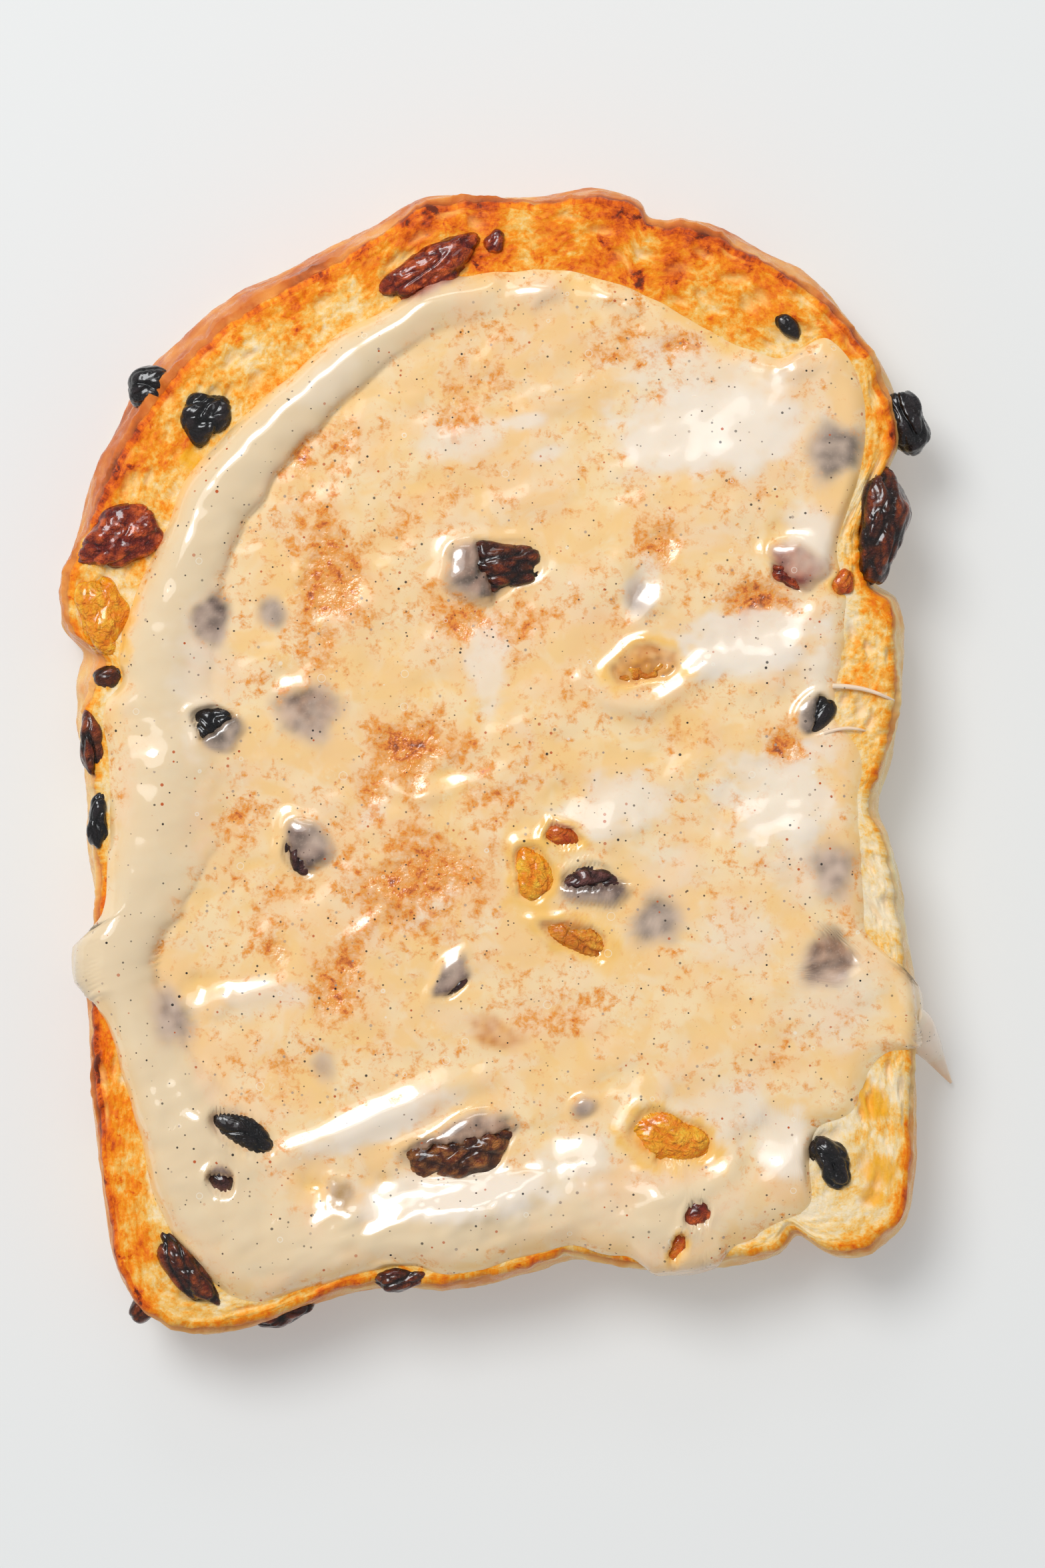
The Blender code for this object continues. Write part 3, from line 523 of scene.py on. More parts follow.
def put_in_mesh(name, points, faces, layers):
    """Points in plan millimetres and faces as rows of corners, made one mesh with its colour layers."""
    placed = (np.asarray(points, float) + np.array([*PLAN_SHIFT, 0])) * MM
    mesh = bpy.data.meshes.new(name)
    mesh.from_pydata(placed, [], [face for rows in faces for face in rows.tolist()])
    for layer, values in layers.items():
        kind, field = ("FLOAT_VECTOR", "vector") if np.ndim(values) == 2 else ("FLOAT", "value")
        made = mesh.attributes.new(layer, kind, "POINT")
        made.data.foreach_set(field, np.asarray(values, np.float32).ravel())
    mesh.polygons.foreach_set("use_smooth", [True] * len(mesh.polygons))
    return put_in_scene(name, mesh)


def grid_faces(rows, columns, closed=True):
    """The quads of a grid of points laid out row by row, joined round where closed."""
    here = np.arange(rows * columns).reshape(rows, columns)
    right = np.roll(here, -1, 1) if closed else here[:, 1:]
    here = here if closed else here[:, :-1]
    return np.stack([here[:-1], right[:-1], right[1:], here[1:]], -1).reshape(-1, 4)


def fan_faces(ring, tip):
    """The triangles that close a ring of points over one more point."""
    return np.stack([np.roll(ring, -1), ring, np.full(len(ring), tip)], 1)


def along_path(x, y, path):
    """For each point its distance to the nearest place on a path, and the path's other numbers there."""
    nearest = np.full(x.shape, 99.0)
    carried = [np.zeros(x.shape) for _ in path[0][2:]]
    for a, b in zip(path, path[1:]):
        dx, dy = b[:2] - a[:2]
        t = np.clip(((x - a[0]) * dx + (y - a[1]) * dy) / (dx * dx + dy * dy), 0, 1)
        away = np.hypot(x - a[0] - t * dx, y - a[1] - t * dy)
        closer = away < nearest
        nearest = np.where(closer, away, nearest)
        ends = zip(a[2:], b[2:], carried)
        carried = [np.where(closer, blend(first, second, t), old) for first, second, old in ends]
    return nearest, *carried


def curved(path):
    """A path drawn through the same places as a smooth curve."""
    knots = np.array(path, float)
    padded = np.vstack([2 * knots[:1] - knots[1:2], knots, 2 * knots[-1:] - knots[-2:-1]])
    return np.vstack([smooth_places(padded[:-3], padded[1:-2], padded[2:-1], padded[3:], 6), knots[-1:]])


def is_plump(fruit):
    return (fruit.name.startswith("currant") and fruit.half_length < 3) or "leaf" in fruit.name


def wrinkling(fruit):
    """How deep a fruit's folds go, 0 to 1: less on the golden ones and on the plump ones."""
    if fruit.skin in BRIGHT_SKINS:
        return 0.45
    return 0.65 if is_plump(fruit) else 0.9


def fruit_edge(fruit, seed, around, level=0.0):
    """A fruit's uneven outline: waves round it, gentler on a plump one, that fade to top and bottom."""
    waves = 0.09 * np.sin(3 * around + seed) + 0.06 * np.sin(5 * around - 2 * seed + 3 * level)
    return 1 + (0.4 if is_plump(fruit) else 1.0) * waves * np.cos(level) ** 2


def fruit_frame(fruit, seed, x, y):
    """A place on a fruit: its share of the way from the middle to the edge, and its direction in plan."""
    dx, dy = x - fruit.x, y - fruit.y
    along, across = turned(dx, dy, fruit.turn)
    along, across = along / fruit.half_length, across / fruit.half_width
    edge = fruit_edge(fruit, seed, np.arctan2(across, along))
    return np.hypot(along, across) / edge, np.arctan2(dy, dx)


def fruit_dome(fruit, share):
    """How high a fruit's top stands over the cut face, by its share of the way to the edge."""
    return fruit.half_height * np.clip(1 - share**FULLNESS, 0, 1) ** (1 / FULLNESS) - fruit.sink


def waterline_ripple(x, y):
    return plan_noise(x, y, 1.6, 1.6, 51, 2)


def fruit_cover(fruit, share, toward, ripple):
    """The glaze's depth over a fruit, in millimetres: deeper to one side, with an uneven waterline."""
    lean = fruit.lean * share * np.cos(toward - math.radians(fruit.side))
    return fruit.cover + lean + 0.06 * ripple


def toasting(x, y):
    """How far the crumb under the glaze is toasted, 0 to 1: the patches, broken up by noise."""
    strength = np.zeros(x.shape)
    for px, py, half_x, half_y, amount in TOASTED_PATCHES:
        near = np.exp(-(((x - px) / half_x) ** 2) - ((y - py) / half_y) ** 2)
        strength = np.maximum(strength, amount * near)
    cloud = plan_noise(x, y, 9, 9, 11)
    return np.clip(strength * (0.75 + 0.6 * cloud) + 0.12 * cloud, 0, 1)


def milk_and_sheen(x, y):
    """How white the glaze lies, 0 to 1, partly thicker milk and partly painted sheen: the veils laid over
    each other, with wandering edges.
    """
    clear = np.ones(x.shape)
    sway = 0.3 * plan_noise(x, y, 3.4, 2.6, 15)
    for px, py, half_x, half_y, turn, strength in MILK_AND_SHEEN_VEILS:
        along, across = turned(x - px, y - py, turn)
        away = np.hypot(along / half_x, across / half_y)
        clear = clear * (1 - strength * (1 - rise(away + sway, 0.55, 1.25)))
    return 1 - clear


def glaze_depth(x, y):
    """The glaze's depth over the bare face: a film, the rope, the knife's ridges and slopes to the window."""
    film = FILM_DEPTH + 0.16 * plan_noise(x, y, 12, 12, 21) - 0.22 * toasting(x, y)
    away, width, height, sharp = along_path(x, y, curved(ROPE))
    share = away / width * (1 + 0.1 * plan_noise(x, y, 4, 4, 23, 2))
    rounded = np.sqrt(np.clip(1 - share**2, 0, 1))
    sloping = np.exp(-1.9 * share**2)
    depth = film + height * blend(sloping, rounded, sharp)
    for ridge in KNIFE_RIDGES:
        away, wide, tall = along_path(x, y, curved(ridge))
        depth = depth + KNIFE_STRENGTH * tall * np.exp(-((away / wide) ** 2))
    sway_x, sway_y = 0.9 * plan_noise(x, y, 3.0, 3.0, 35, 2), 0.9 * plan_noise(x, y, 3.0, 3.0, 37, 2)
    for px, py, half_x, half_y, turn, slope in SHEEN_SLOPES:
        dx, dy = x - px, y - py
        along, across = turned(dx + sway_x, dy + sway_y, turn)
        spread = (along / half_x) ** 2 + (across / half_y) ** 2
        from_window = (dx - dy) * math.sqrt(0.5)
        depth = depth + KNIFE_STRENGTH * slope * from_window * np.exp(-(spread**1.5) * 0.7)
    swirl = plan_noise(x, y, 7.5, 5.5, 31, 2)
    ripple = plan_noise(x + 0.3 * y, y - 0.3 * x, 5.0, 2.6, 33, 2)
    stirred = 0.03 + 0.17 * rise(height * sloping, 0.3, 1.2) * rise(-y, 33, 42)
    return np.maximum(depth + 0.11 * swirl + stirred * ripple, 0.3)


def soft_max(first, second, width):
    """The greater of two heights, rounded where they meet."""
    near = np.clip(0.5 + 0.5 * (first - second) / width, 0, 1)
    return blend(second, first, near) + width * near * (1 - near)


def fruit_swell(fruit, share, toward, cover, covered, depth):
    """The glaze's depth once it has flowed over one fruit and round it, with a collar towards the window."""
    wide = share / (1 + 0.13 * covered)
    bare = (1 - covered) * (1 - rise(share, 0.8, 1.03))
    depth = blend(depth, np.minimum(depth, np.maximum(fruit_dome(fruit, share) - 0.5, 0.1)), bare)
    skin_level = fruit_dome(fruit, wide) + 0.3 * covered + np.clip(cover, 0, None) - 1.6 * (1 - covered)
    skin_level = skin_level - 4 * np.clip(wide - 1.02, 0, None)
    if fruit.sink < COLLAR_SINK:
        facing = 0.5 + 0.5 * np.cos(toward - math.radians(WINDOW_DIRECTION))
        depth = depth + 0.34 * np.exp(-(((share - 1.12) / 0.22) ** 2)) * facing
    return soft_max(depth, skin_level, 0.3)


def glaze_surface(x, y):
    """The glaze's depth over the face once it has flowed over and round the fruit, and its colour layers."""
    depth = glaze_depth(x, y)
    toast, milky = toasting(x, y), milk_and_sheen(x, y)
    gold = rise(layered(plan_points(x / 6 + 9, y / 6), 41).reshape(x.shape), -0.3, 0.6)[..., None]
    under = CRUMB_PALE + (CRUMB_GOLD - CRUMB_PALE) * gold * 0.75
    under = blend(under, CRUMB_TOASTED, (0.85 * toast)[..., None])
    veil = 1 - np.exp(-np.clip(depth - 0.15, 0, None) / 0.95)
    # The veils whiten the glaze, partly as thicker milk and partly as painted sheen
    veil = veil + (1 - veil) * 0.78 * milky
    ripple, mottled = waterline_ripple(x, y), plan_noise(x, y, 2.2, 2.2, 53, 2)
    over_fruit, over_dark = np.zeros(x.shape), np.zeros(x.shape)
    for seed, fruit in enumerate(FRUITS):
        if fruit.cover <= WHOLLY_BARE:
            continue
        share, toward = fruit_frame(fruit, seed, x, y)
        cover = fruit_cover(fruit, share, toward, ripple)
        covered = rise(cover, -0.05, 0.05)
        depth = fruit_swell(fruit, share, toward, cover, covered, depth)
        blur = 0.24 + 0.8 * max(fruit.cover, 0)
        inside = (1 - rise(share + 0.05 * ripple, 1 - blur, 1.04 + 0.6 * blur)) * rise(cover, -0.3, 0.04)
        dark, crest = SKINS[fruit.skin]
        tint = blend(dark, crest, np.clip(0.25 + 0.5 * ripple + 0.4 * mottled, 0, 1)[..., None])
        under = blend(under, tint, inside[..., None])
        least = 0.04 if fruit.skin in BRIGHT_SKINS else 0.2
        thinned = least + 0.6 * (1 - np.exp(-np.clip(cover, 0.0, None) / 0.3)) + 0.34 * mottled
        veil = blend(veil, np.clip(thinned, 0.1, 0.92), inside)
        over_fruit = np.maximum(over_fruit, inside)
        if fruit.skin in BRIGHT_SKINS:
            ragged = share + 0.34 * mottled + 0.12 * ripple
            reach = 1.9 if "group" in fruit.name else 1.5
            pool = (1 - rise(ragged, 1.0, reach)) * (1 - inside) * (fruit.cover < 0.2)
            under = blend(under, GOLDEN_JUICE, pool[..., None])
            veil = veil * (1 - 0.85 * pool)
            over_fruit = np.maximum(over_fruit, 0.7 * pool)
        else:
            over_dark = np.maximum(over_dark, inside)
    return depth, {
        "under": under, "veil": veil, "toast": toast * (1 - over_fruit), "over_fruit": over_fruit,
        "over_dark": over_dark, "milky": milky, "thick": rise(depth, 1.3, 2.3),
    }


def base_profile(angle, along):
    """The slice's surface in one direction: flat out to the rim, round its shoulder, then down the crust.

    Gives how far out and how high each place lies, and the outward share and upward share of its normal.
    """
    rim = rim_reach(angle)
    flat_end = rim - SHOULDER
    turn = np.clip((along - flat_end) / SHOULDER, 0, math.pi / 2)
    down = np.clip(along - flat_end - SHOULDER * math.pi / 2, 0, SLICE_THICKNESS - 2)
    out = np.minimum(along, flat_end) + SHOULDER * np.sin(turn)
    top = face_height(np.minimum(out, rim) * np.cos(angle), np.minimum(out, rim) * np.sin(angle))
    height = top - SHOULDER * (1 - np.cos(turn)) - down
    out = out + (crust_reach(angle, height) - rim) * rise(down, 0, 1.5)
    return out, height, np.sin(turn), np.cos(turn)


def disc_grid(count):
    """A square grid wrapped to a disc: for each point its direction, and its share of the way to the edge."""
    a, b = np.meshgrid(np.linspace(-1, 1, count), np.linspace(-1, 1, count), indexing="ij")
    wide = np.abs(a) > np.abs(b)
    share = np.maximum(np.abs(a), np.abs(b))
    with np.errstate(divide="ignore", invalid="ignore"):
        first = math.pi / 4 * b / a + np.where(a < 0, math.pi, 0)
        second = math.pi / 2 - math.pi / 4 * a / b + np.where(b < 0, math.pi, 0)
    angle = np.where(wide, first, second)
    return np.where(share > 0, angle, 0.0), share


def ease_to_edge(share, start=0.92):
    """Crowds the last rings towards the edge: even up to the start, then along a quarter of a sine wave."""
    reached = (math.pi / 2) * start / (1 - start + (math.pi / 2) * start)
    late = np.clip((share - start) / (1 - start), 0, 1)
    ending = reached + (1 - reached) * np.sin(math.pi / 2 * late)
    return np.where(share < start, share * reached / start, ending)


def glaze_end(angle):
    """How far the glaze runs each way, measured along the slice: to its border, then down the crust."""
    border, rim = border_reach(angle), rim_reach(angle)
    overhang = np.clip(border - rim, 0, None)
    hang = rise(overhang, 0, 0.9) * (BORDER_SINK - 0.6) + HANG_PER_OVERHANG * overhang
    return border - overhang + hang + 0.28 * round_noise(angle, 0 * angle, 3.25, 1, 61, 1)


def pour_glaze(count=301):
    """The glaze as one closed sheet, on a disc grid laid over the slice's own profile in every direction.

    Its depth stands off that profile along the normal, and ends in a rounded edge. Where the border passes
    the rim, the sheet runs over the shoulder and down the crust to a hanging lobe.
    """
    angle, share = disc_grid(count)
    border, rim = border_reach(angle), rim_reach(angle)
    end = lookup(evened(glaze_end(AROUND), 0.5))(angle)
    calm_end = lookup(evened(glaze_end(AROUND), 8))(angle)
    eased = ease_to_edge(share)
    along = eased * blend(calm_end, end, rise(eased, 0.5, 0.98))
    out, height, normal_out, normal_up = base_profile(angle, along)
    x, y = out * np.cos(angle), out * np.sin(angle)
    depth, layers = glaze_surface(x, y)
    side_depth = np.maximum(border + 0.15 - crust_reach(angle, height), 0.35)
    beside = rise(along, rim - 1.6, rim + 0.8)
    depth = blend(depth, np.minimum(depth, side_depth + 0.25), beside)
    left = np.clip(end - along, 0, None)
    rounding = 2.8 + 0.5 * np.clip(depth - 1.2, 0, None)
    edge = np.clip(1 - (1 - np.clip(left / rounding, 0, 1)) ** 2, 0, 1) ** (1.0 - 0.4 * rise(depth, 1.0, 2.0))
    depth = depth * edge - 0.22 * (1 - edge)
    x = x + normal_out * depth * np.cos(angle)
    y = y + normal_out * depth * np.sin(angle)
    z = height + normal_up * depth
    layers["veil"] = np.maximum(layers["veil"] * (0.35 + 0.65 * edge), 0.75 * beside * edge)
    points = np.stack([x, y, z], -1).reshape(-1, 3)
    faces = grid_faces(count, count, closed=False)
    index = np.arange(count * count).reshape(count, count)
    ring = np.concatenate([index[:-1, 0], index[-1, :-1], index[:0:-1, -1], index[0, :0:-1]])
    bottom = np.array([[0, 0, SLICE_THICKNESS - HIDDEN_DEPTH]])
    inner = points[ring] * np.array([0.8, 0.8, 0]) + bottom
    start = len(points)
    lower = np.arange(start, start + len(ring))
    skirt = np.stack([ring, np.roll(ring, -1), np.roll(lower, -1), lower], 1)
    points = np.vstack([points, inner, bottom])
    extra = len(points) - start

    def full(values):
        flat = values.reshape(start, -1)
        whole = np.vstack([flat, np.repeat(flat[:1], extra, 0)])
        return whole if whole.shape[1] > 1 else whole[:, 0]

    layers = {name: full(values) for name, values in layers.items()}
    closing = [skirt, fan_faces(lower, len(points) - 1)]
    return put_in_mesh("butter_glaze_poured", points, [faces, *closing], layers)


def crumb_relief(angle, inward, seed):
    """The torn, toasted crumb in millimetres: strands drawn out along the rim, open cells between them."""
    strands = 1 - np.abs(round_noise(angle, inward, 1.7, 1.3, seed))
    grain = round_noise(angle, inward, 0.9, 0.6, seed + 5, 2)
    sway = 0.5 * round_noise(angle, inward, 4.0, 4.0, seed + 7, 1)
    half_round = 48
    column = (angle / math.pi + 1) * half_round + 0.3 * sway
    away, number = cells(column, inward / 1.9 + sway, seed + 9, 2 * half_round)
    pits = (1 - rise(away, 0.1, 0.5)) * rise(number, 0.45, 0.8)
    return 0.3 * (strands - 0.75) + 0.16 * grain - 0.7 * pits, pits


def stained(x, y):
    """How orange the bits of peel have stained the crumb, 0 to 1, with ragged edges."""
    stain, patchy = np.zeros(x.shape), 0.35 * plan_noise(x, y, 1.6, 1.6, 131)
    for px, py, size in PEEL_STAINS:
        near = np.hypot(x - px, y - py) / size + patchy
        stain = np.maximum(stain, 0.85 * (1 - rise(near, 0.6, 1.1)))
    return stain


def bake_bread(spokes=920):
    """The slice as one closed grid: rows of points from the face's middle to the underside's middle.

    Each row is a loop round the slice: over the face, round the shoulder, down the crust, and in below.
    """
    angle = np.linspace(-math.pi, math.pi, spokes, endpoint=False)[None, :]
    ragged = 0.3 * round_noise(angle, 0 * angle, 2.4, 1, 71)
    rim = rim_reach(angle) + ragged
    covered = np.minimum(border_reach(angle), rim - 1.2) - 1.6
    middle = covered * np.array([0.25, 0.6, 0.85, 0.95])[:, None]
    face = np.vstack([middle, blend(covered, rim - SHOULDER, np.linspace(0, 1, 36)[:, None])])
    x, y = face * np.cos(angle), face * np.sin(angle)
    inward = rim - face
    bare = rise(face, border_reach(angle) - 0.5, border_reach(angle) + 1.3)
    relief, pits = crumb_relief(angle, inward, 81)
    beneath = 1 - rise(face, border_reach(angle) - 2.6, border_reach(angle) - 1.2)
    height = face_height(x, y) - 0.06 + bare * relief - 0.3 * beneath
    turn = np.linspace(0, math.pi / 2, 8)[1:, None]
    rough = 0.16 * round_noise(angle, turn, 0.9, 0.5, 91)
    out = rim - SHOULDER + (SHOULDER + rough) * np.sin(turn)
    shoulder = height[-1:] - SHOULDER * (1 - np.cos(turn))
    fall = np.linspace(0, 1, 36)[1:, None]
    high = blend(shoulder[-1:], FOOT_RADIUS, fall)
    skin = 0.13 * round_noise(angle, high, 2.4, 2.6, 101) + 0.05 * round_noise(angle, high, 0.7, 0.7, 103)
    torn = (ragged + rough[-1:]) * (1 - rise(fall, 0, 0.35))
    side = crust_reach(angle, high) + torn + skin * rise(fall, 0, 0.15)
    curl = np.linspace(0, math.pi / 2, 5)[1:, None]
    foot = side[-1:] - FOOT_RADIUS * (1 - np.cos(curl))
    low = FOOT_RADIUS * (1 - np.sin(curl)) + 0 * angle
    under = foot[-1:] * np.array([0.97, 0.9, 0.8, 0.68, 0.55, 0.4, 0.22])[:, None]
    reach = np.vstack([face, out, side, foot, under])
    level = np.vstack([height, shoulder, high, low, 0 * under])
    grid = np.stack([reach * np.cos(angle), reach * np.sin(angle), level], -1)
    count = len(grid)
    points = np.vstack([grid.reshape(-1, 3), [[0, 0, face_height(0.0, 0.0) - 0.4], [0, 0, 0]]])
    faces = grid_faces(count, spokes)[:, ::-1]
    first, last = np.arange(spokes), np.arange(spokes) + (count - 1) * spokes
    across = np.vstack([inward, 0 * out - 0.5, high - SLICE_THICKNESS, low - SLICE_THICKNESS, 0 * under - 20])
    circle = 44 + 0 * across
    strand = np.stack([np.cos(angle) * circle, np.sin(angle) * circle, across], -1)
    toast, crust = brown_rows(angle, x, y, inward, relief, turn, high, count)
    deep = np.zeros(toast.shape)
    # How far each place lies in a pit, which the material partly paints with shade
    deep[: len(face)] = pits * bare
    stain = np.zeros(toast.shape)
    stain[: len(face)] = stained(x, y)
    layers = {"toast": toast, "crust": crust, "deep": deep, "stain": stain}
    layers = {name: values.ravel() for name, values in layers.items()}
    layers["strand"] = strand.reshape(-1, 3)
    layers = {name: np.concatenate([values, values[:1], values[-1:]]) for name, values in layers.items()}
    closing = [fan_faces(first, len(points) - 2)[:, ::-1], fan_faces(last, len(points) - 1)]
    return put_in_mesh("toasted_slice", points, [faces, *closing], layers)


def round_blend(angle, column):
    """One of the toasted stretches' numbers, blended round the slice by how near each lies in direction."""
    weights = [bump(angle, stretch[0], stretch[1]) + 1e-6 for stretch in TOASTED_STRETCHES]
    return sum(weight * stretch[column] for weight, stretch in zip(weights, TOASTED_STRETCHES)) / sum(weights)


def brown_rows(angle, x, y, inward, relief, turn, high, count):
    """How toasted and how crusty each row of the slice is, each 0 to 1.

    The face browns towards its rim, each stretch by its own amount, and on the crests of the crumb.
    """
    shape = (count, angle.shape[1])
    toast, crust = np.zeros(shape), np.zeros(shape)
    rows, band = len(x), len(x) + len(turn)
    end = band + len(high)
    at_rim, within, spread, on_side = (round_blend(angle, column) for column in (2, 3, 4, 5))
    cloud = layered(plan_points(x / 5, y / 5, 3.0), 111).reshape(x.shape)
    near_rim = np.exp(-np.clip(inward - 0.8, 0, None) / spread)
    toast[:rows] = blend(within, at_rim, near_rim) + 0.2 * cloud + 0.22 * np.clip(relief, -0.8, 0.5)
    toast[rows:band] = at_rim + 0.08 + 0.2 * cloud[-1:]
    crust[rows:band] = rise(turn, 0.9, 1.55) + 0 * angle
    mottle = round_noise(angle, high, 6.5, 6, 121)
    top_edge = rise(high, 12.5, 15.5)
    toast[band:end] = on_side + (at_rim - on_side) * 0.5 * top_edge + 0.16 * mottle
    crust[band:end] = 1.0
    toast[end:] = 0.34
    crust[end : end + 4] = np.linspace(1, 0.1, 4)[:, None]
    return np.clip(toast, 0, 1), crust


def wrinkle_fruit(fruit, seed):
    """A dried fruit: a full-shouldered lump over directions, drawn in along lines where noise crosses zero.

    Broad folds and fine pleats are each a noise's absolute value, so they pinch to a crease between ridges.
    """
    rings, sides = (30, 48) if fruit.half_length < 2.4 else (50, 86)
    steps = np.linspace(-1, 1, rings + 2)[1:-1, None]
    reached, left = np.abs(steps) ** (FULLNESS / 2), (1 - np.abs(steps)) ** (FULLNESS / 2)
    level = np.sign(steps) * math.pi / 2 * reached / (reached + left)
    around = np.linspace(0, 2 * math.pi, sides, endpoint=False)[None, :]
    edge = fruit_edge(fruit, seed, around, level)
    out, up = np.cos(level) ** (2 / FULLNESS), np.sign(level) * np.abs(np.sin(level)) ** (2 / FULLNESS)
    way = np.stack([out * np.cos(around), out * np.sin(around), up + 0 * around], -1).reshape(-1, 3)
    half = np.array([fruit.half_length, fruit.half_width, fruit.half_height])
    scaled = way * half
    drawn_out = scaled * np.array([0.45, 1.0, 1.0])
    fold = np.abs(noise(drawn_out / 2.2 + seed, 200 + seed))
    pleat = np.abs(noise(drawn_out / 1.05 - seed, 300 + seed))
    crease, nick = np.exp(-((fold / 0.11) ** 2)), np.exp(-((pleat / 0.17) ** 2))
    swell = 1 + (0.05 if is_plump(fruit) else 0.11) * noise(scaled / 2.6 + 5, 400 + seed)
    size = min(1.0, float(half.mean()) / 2.6)
    drawn_in = (0.27 * crease + 0.13 * nick - 0.06) * size * wrinkling(fruit)
    radius = edge.reshape(-1) * swell - drawn_in / half.mean()
    body = scaled * radius[:, None]
    tips = [[0, 0, body[:sides, 2].mean()], [0, 0, body[-sides:, 2].mean()]]
    local = np.vstack([body, tips])
    middle = face_height(fruit.x, fruit.y) - fruit.sink
    x, y = turned(local[:, 0], local[:, 1], -fruit.turn)
    share, toward = fruit_frame(fruit, seed, fruit.x + x, fruit.y + y)
    cover = fruit_cover(fruit, share, toward, waterline_ripple(fruit.x + x, fruit.y + y))
    sunk = 1 - 0.12 * rise(cover, -0.05, 0.05) * rise(local[:, 2] / fruit.half_height, 0.0, 0.4)
    points = np.stack([fruit.x + x * sunk, fruit.y + y * sunk, middle + local[:, 2] * sunk], 1)
    bottom = fan_faces(np.arange(sides), rings * sides)
    top = fan_faces(np.arange(sides) + (rings - 1) * sides, rings * sides + 1)[:, ::-1]
    # Lighter on the folds' crests and darker in their creases: partly the skin's own colour, partly painted
    # highlight on the crests and painted shade in the creases
    crest = np.append(np.clip(0.2 + 1.1 * pleat + 0.5 * fold - 0.6 * crease, 0, 1), [0.4, 0.4])
    layers = {"skin": blend(*SKINS[fruit.skin], (crest**1.8)[:, None]), "crest": crest}
    return put_in_mesh("skin_" + fruit.name, points, [grid_faces(rings, sides), bottom, top], layers)


def draw_tube(name, path, sides=14):
    """A tube along a path of (x, y, z, radius): circles square to the path, closed by a point at each end."""
    knots = np.array(path, float)
    t = np.linspace(0, len(knots) - 1, 8 * len(knots))
    places = np.stack([np.interp(t, np.arange(len(knots)), knots[:, k]) for k in range(4)], 1)
    kernel = np.array([1, 2, 3, 2, 1]) / 9
    padded = np.pad(places, ((2, 2), (0, 0)), mode="edge")
    places = np.stack([np.convolve(padded[:, k], kernel, mode="valid") for k in range(4)], 1)
    middle, radius = places[:, :3], places[:, 3:]
    ahead = np.gradient(middle, axis=0)
    ahead /= np.linalg.norm(ahead, axis=1, keepdims=True)
    across = np.cross(ahead, [0.0, 0.0, 1.0])
    across /= np.linalg.norm(across, axis=1, keepdims=True)
    over = np.cross(across, ahead)
    around = np.linspace(0, 2 * math.pi, sides, endpoint=False)
    ring = np.cos(around)[:, None] * across[:, None, :] + np.sin(around)[:, None] * over[:, None, :]
    points = (middle[:, None, :] + ring * radius[:, None, :]).reshape(-1, 3)
    points = np.vstack([points, middle[:1], middle[-1:]])
    first, last = np.arange(sides), np.arange(sides) + (len(middle) - 1) * sides
    ends = [fan_faces(first, len(points) - 2), fan_faces(last, len(points) - 1)[:, ::-1]]
    plain = np.ones(len(points))
    layers = {"under": plain[:, None] * MILK_THIN, "veil": 0.85 * plain, "milky": 0.4 * plain}
    return put_in_mesh(name, points, [grid_faces(len(middle), sides), *ends], layers)


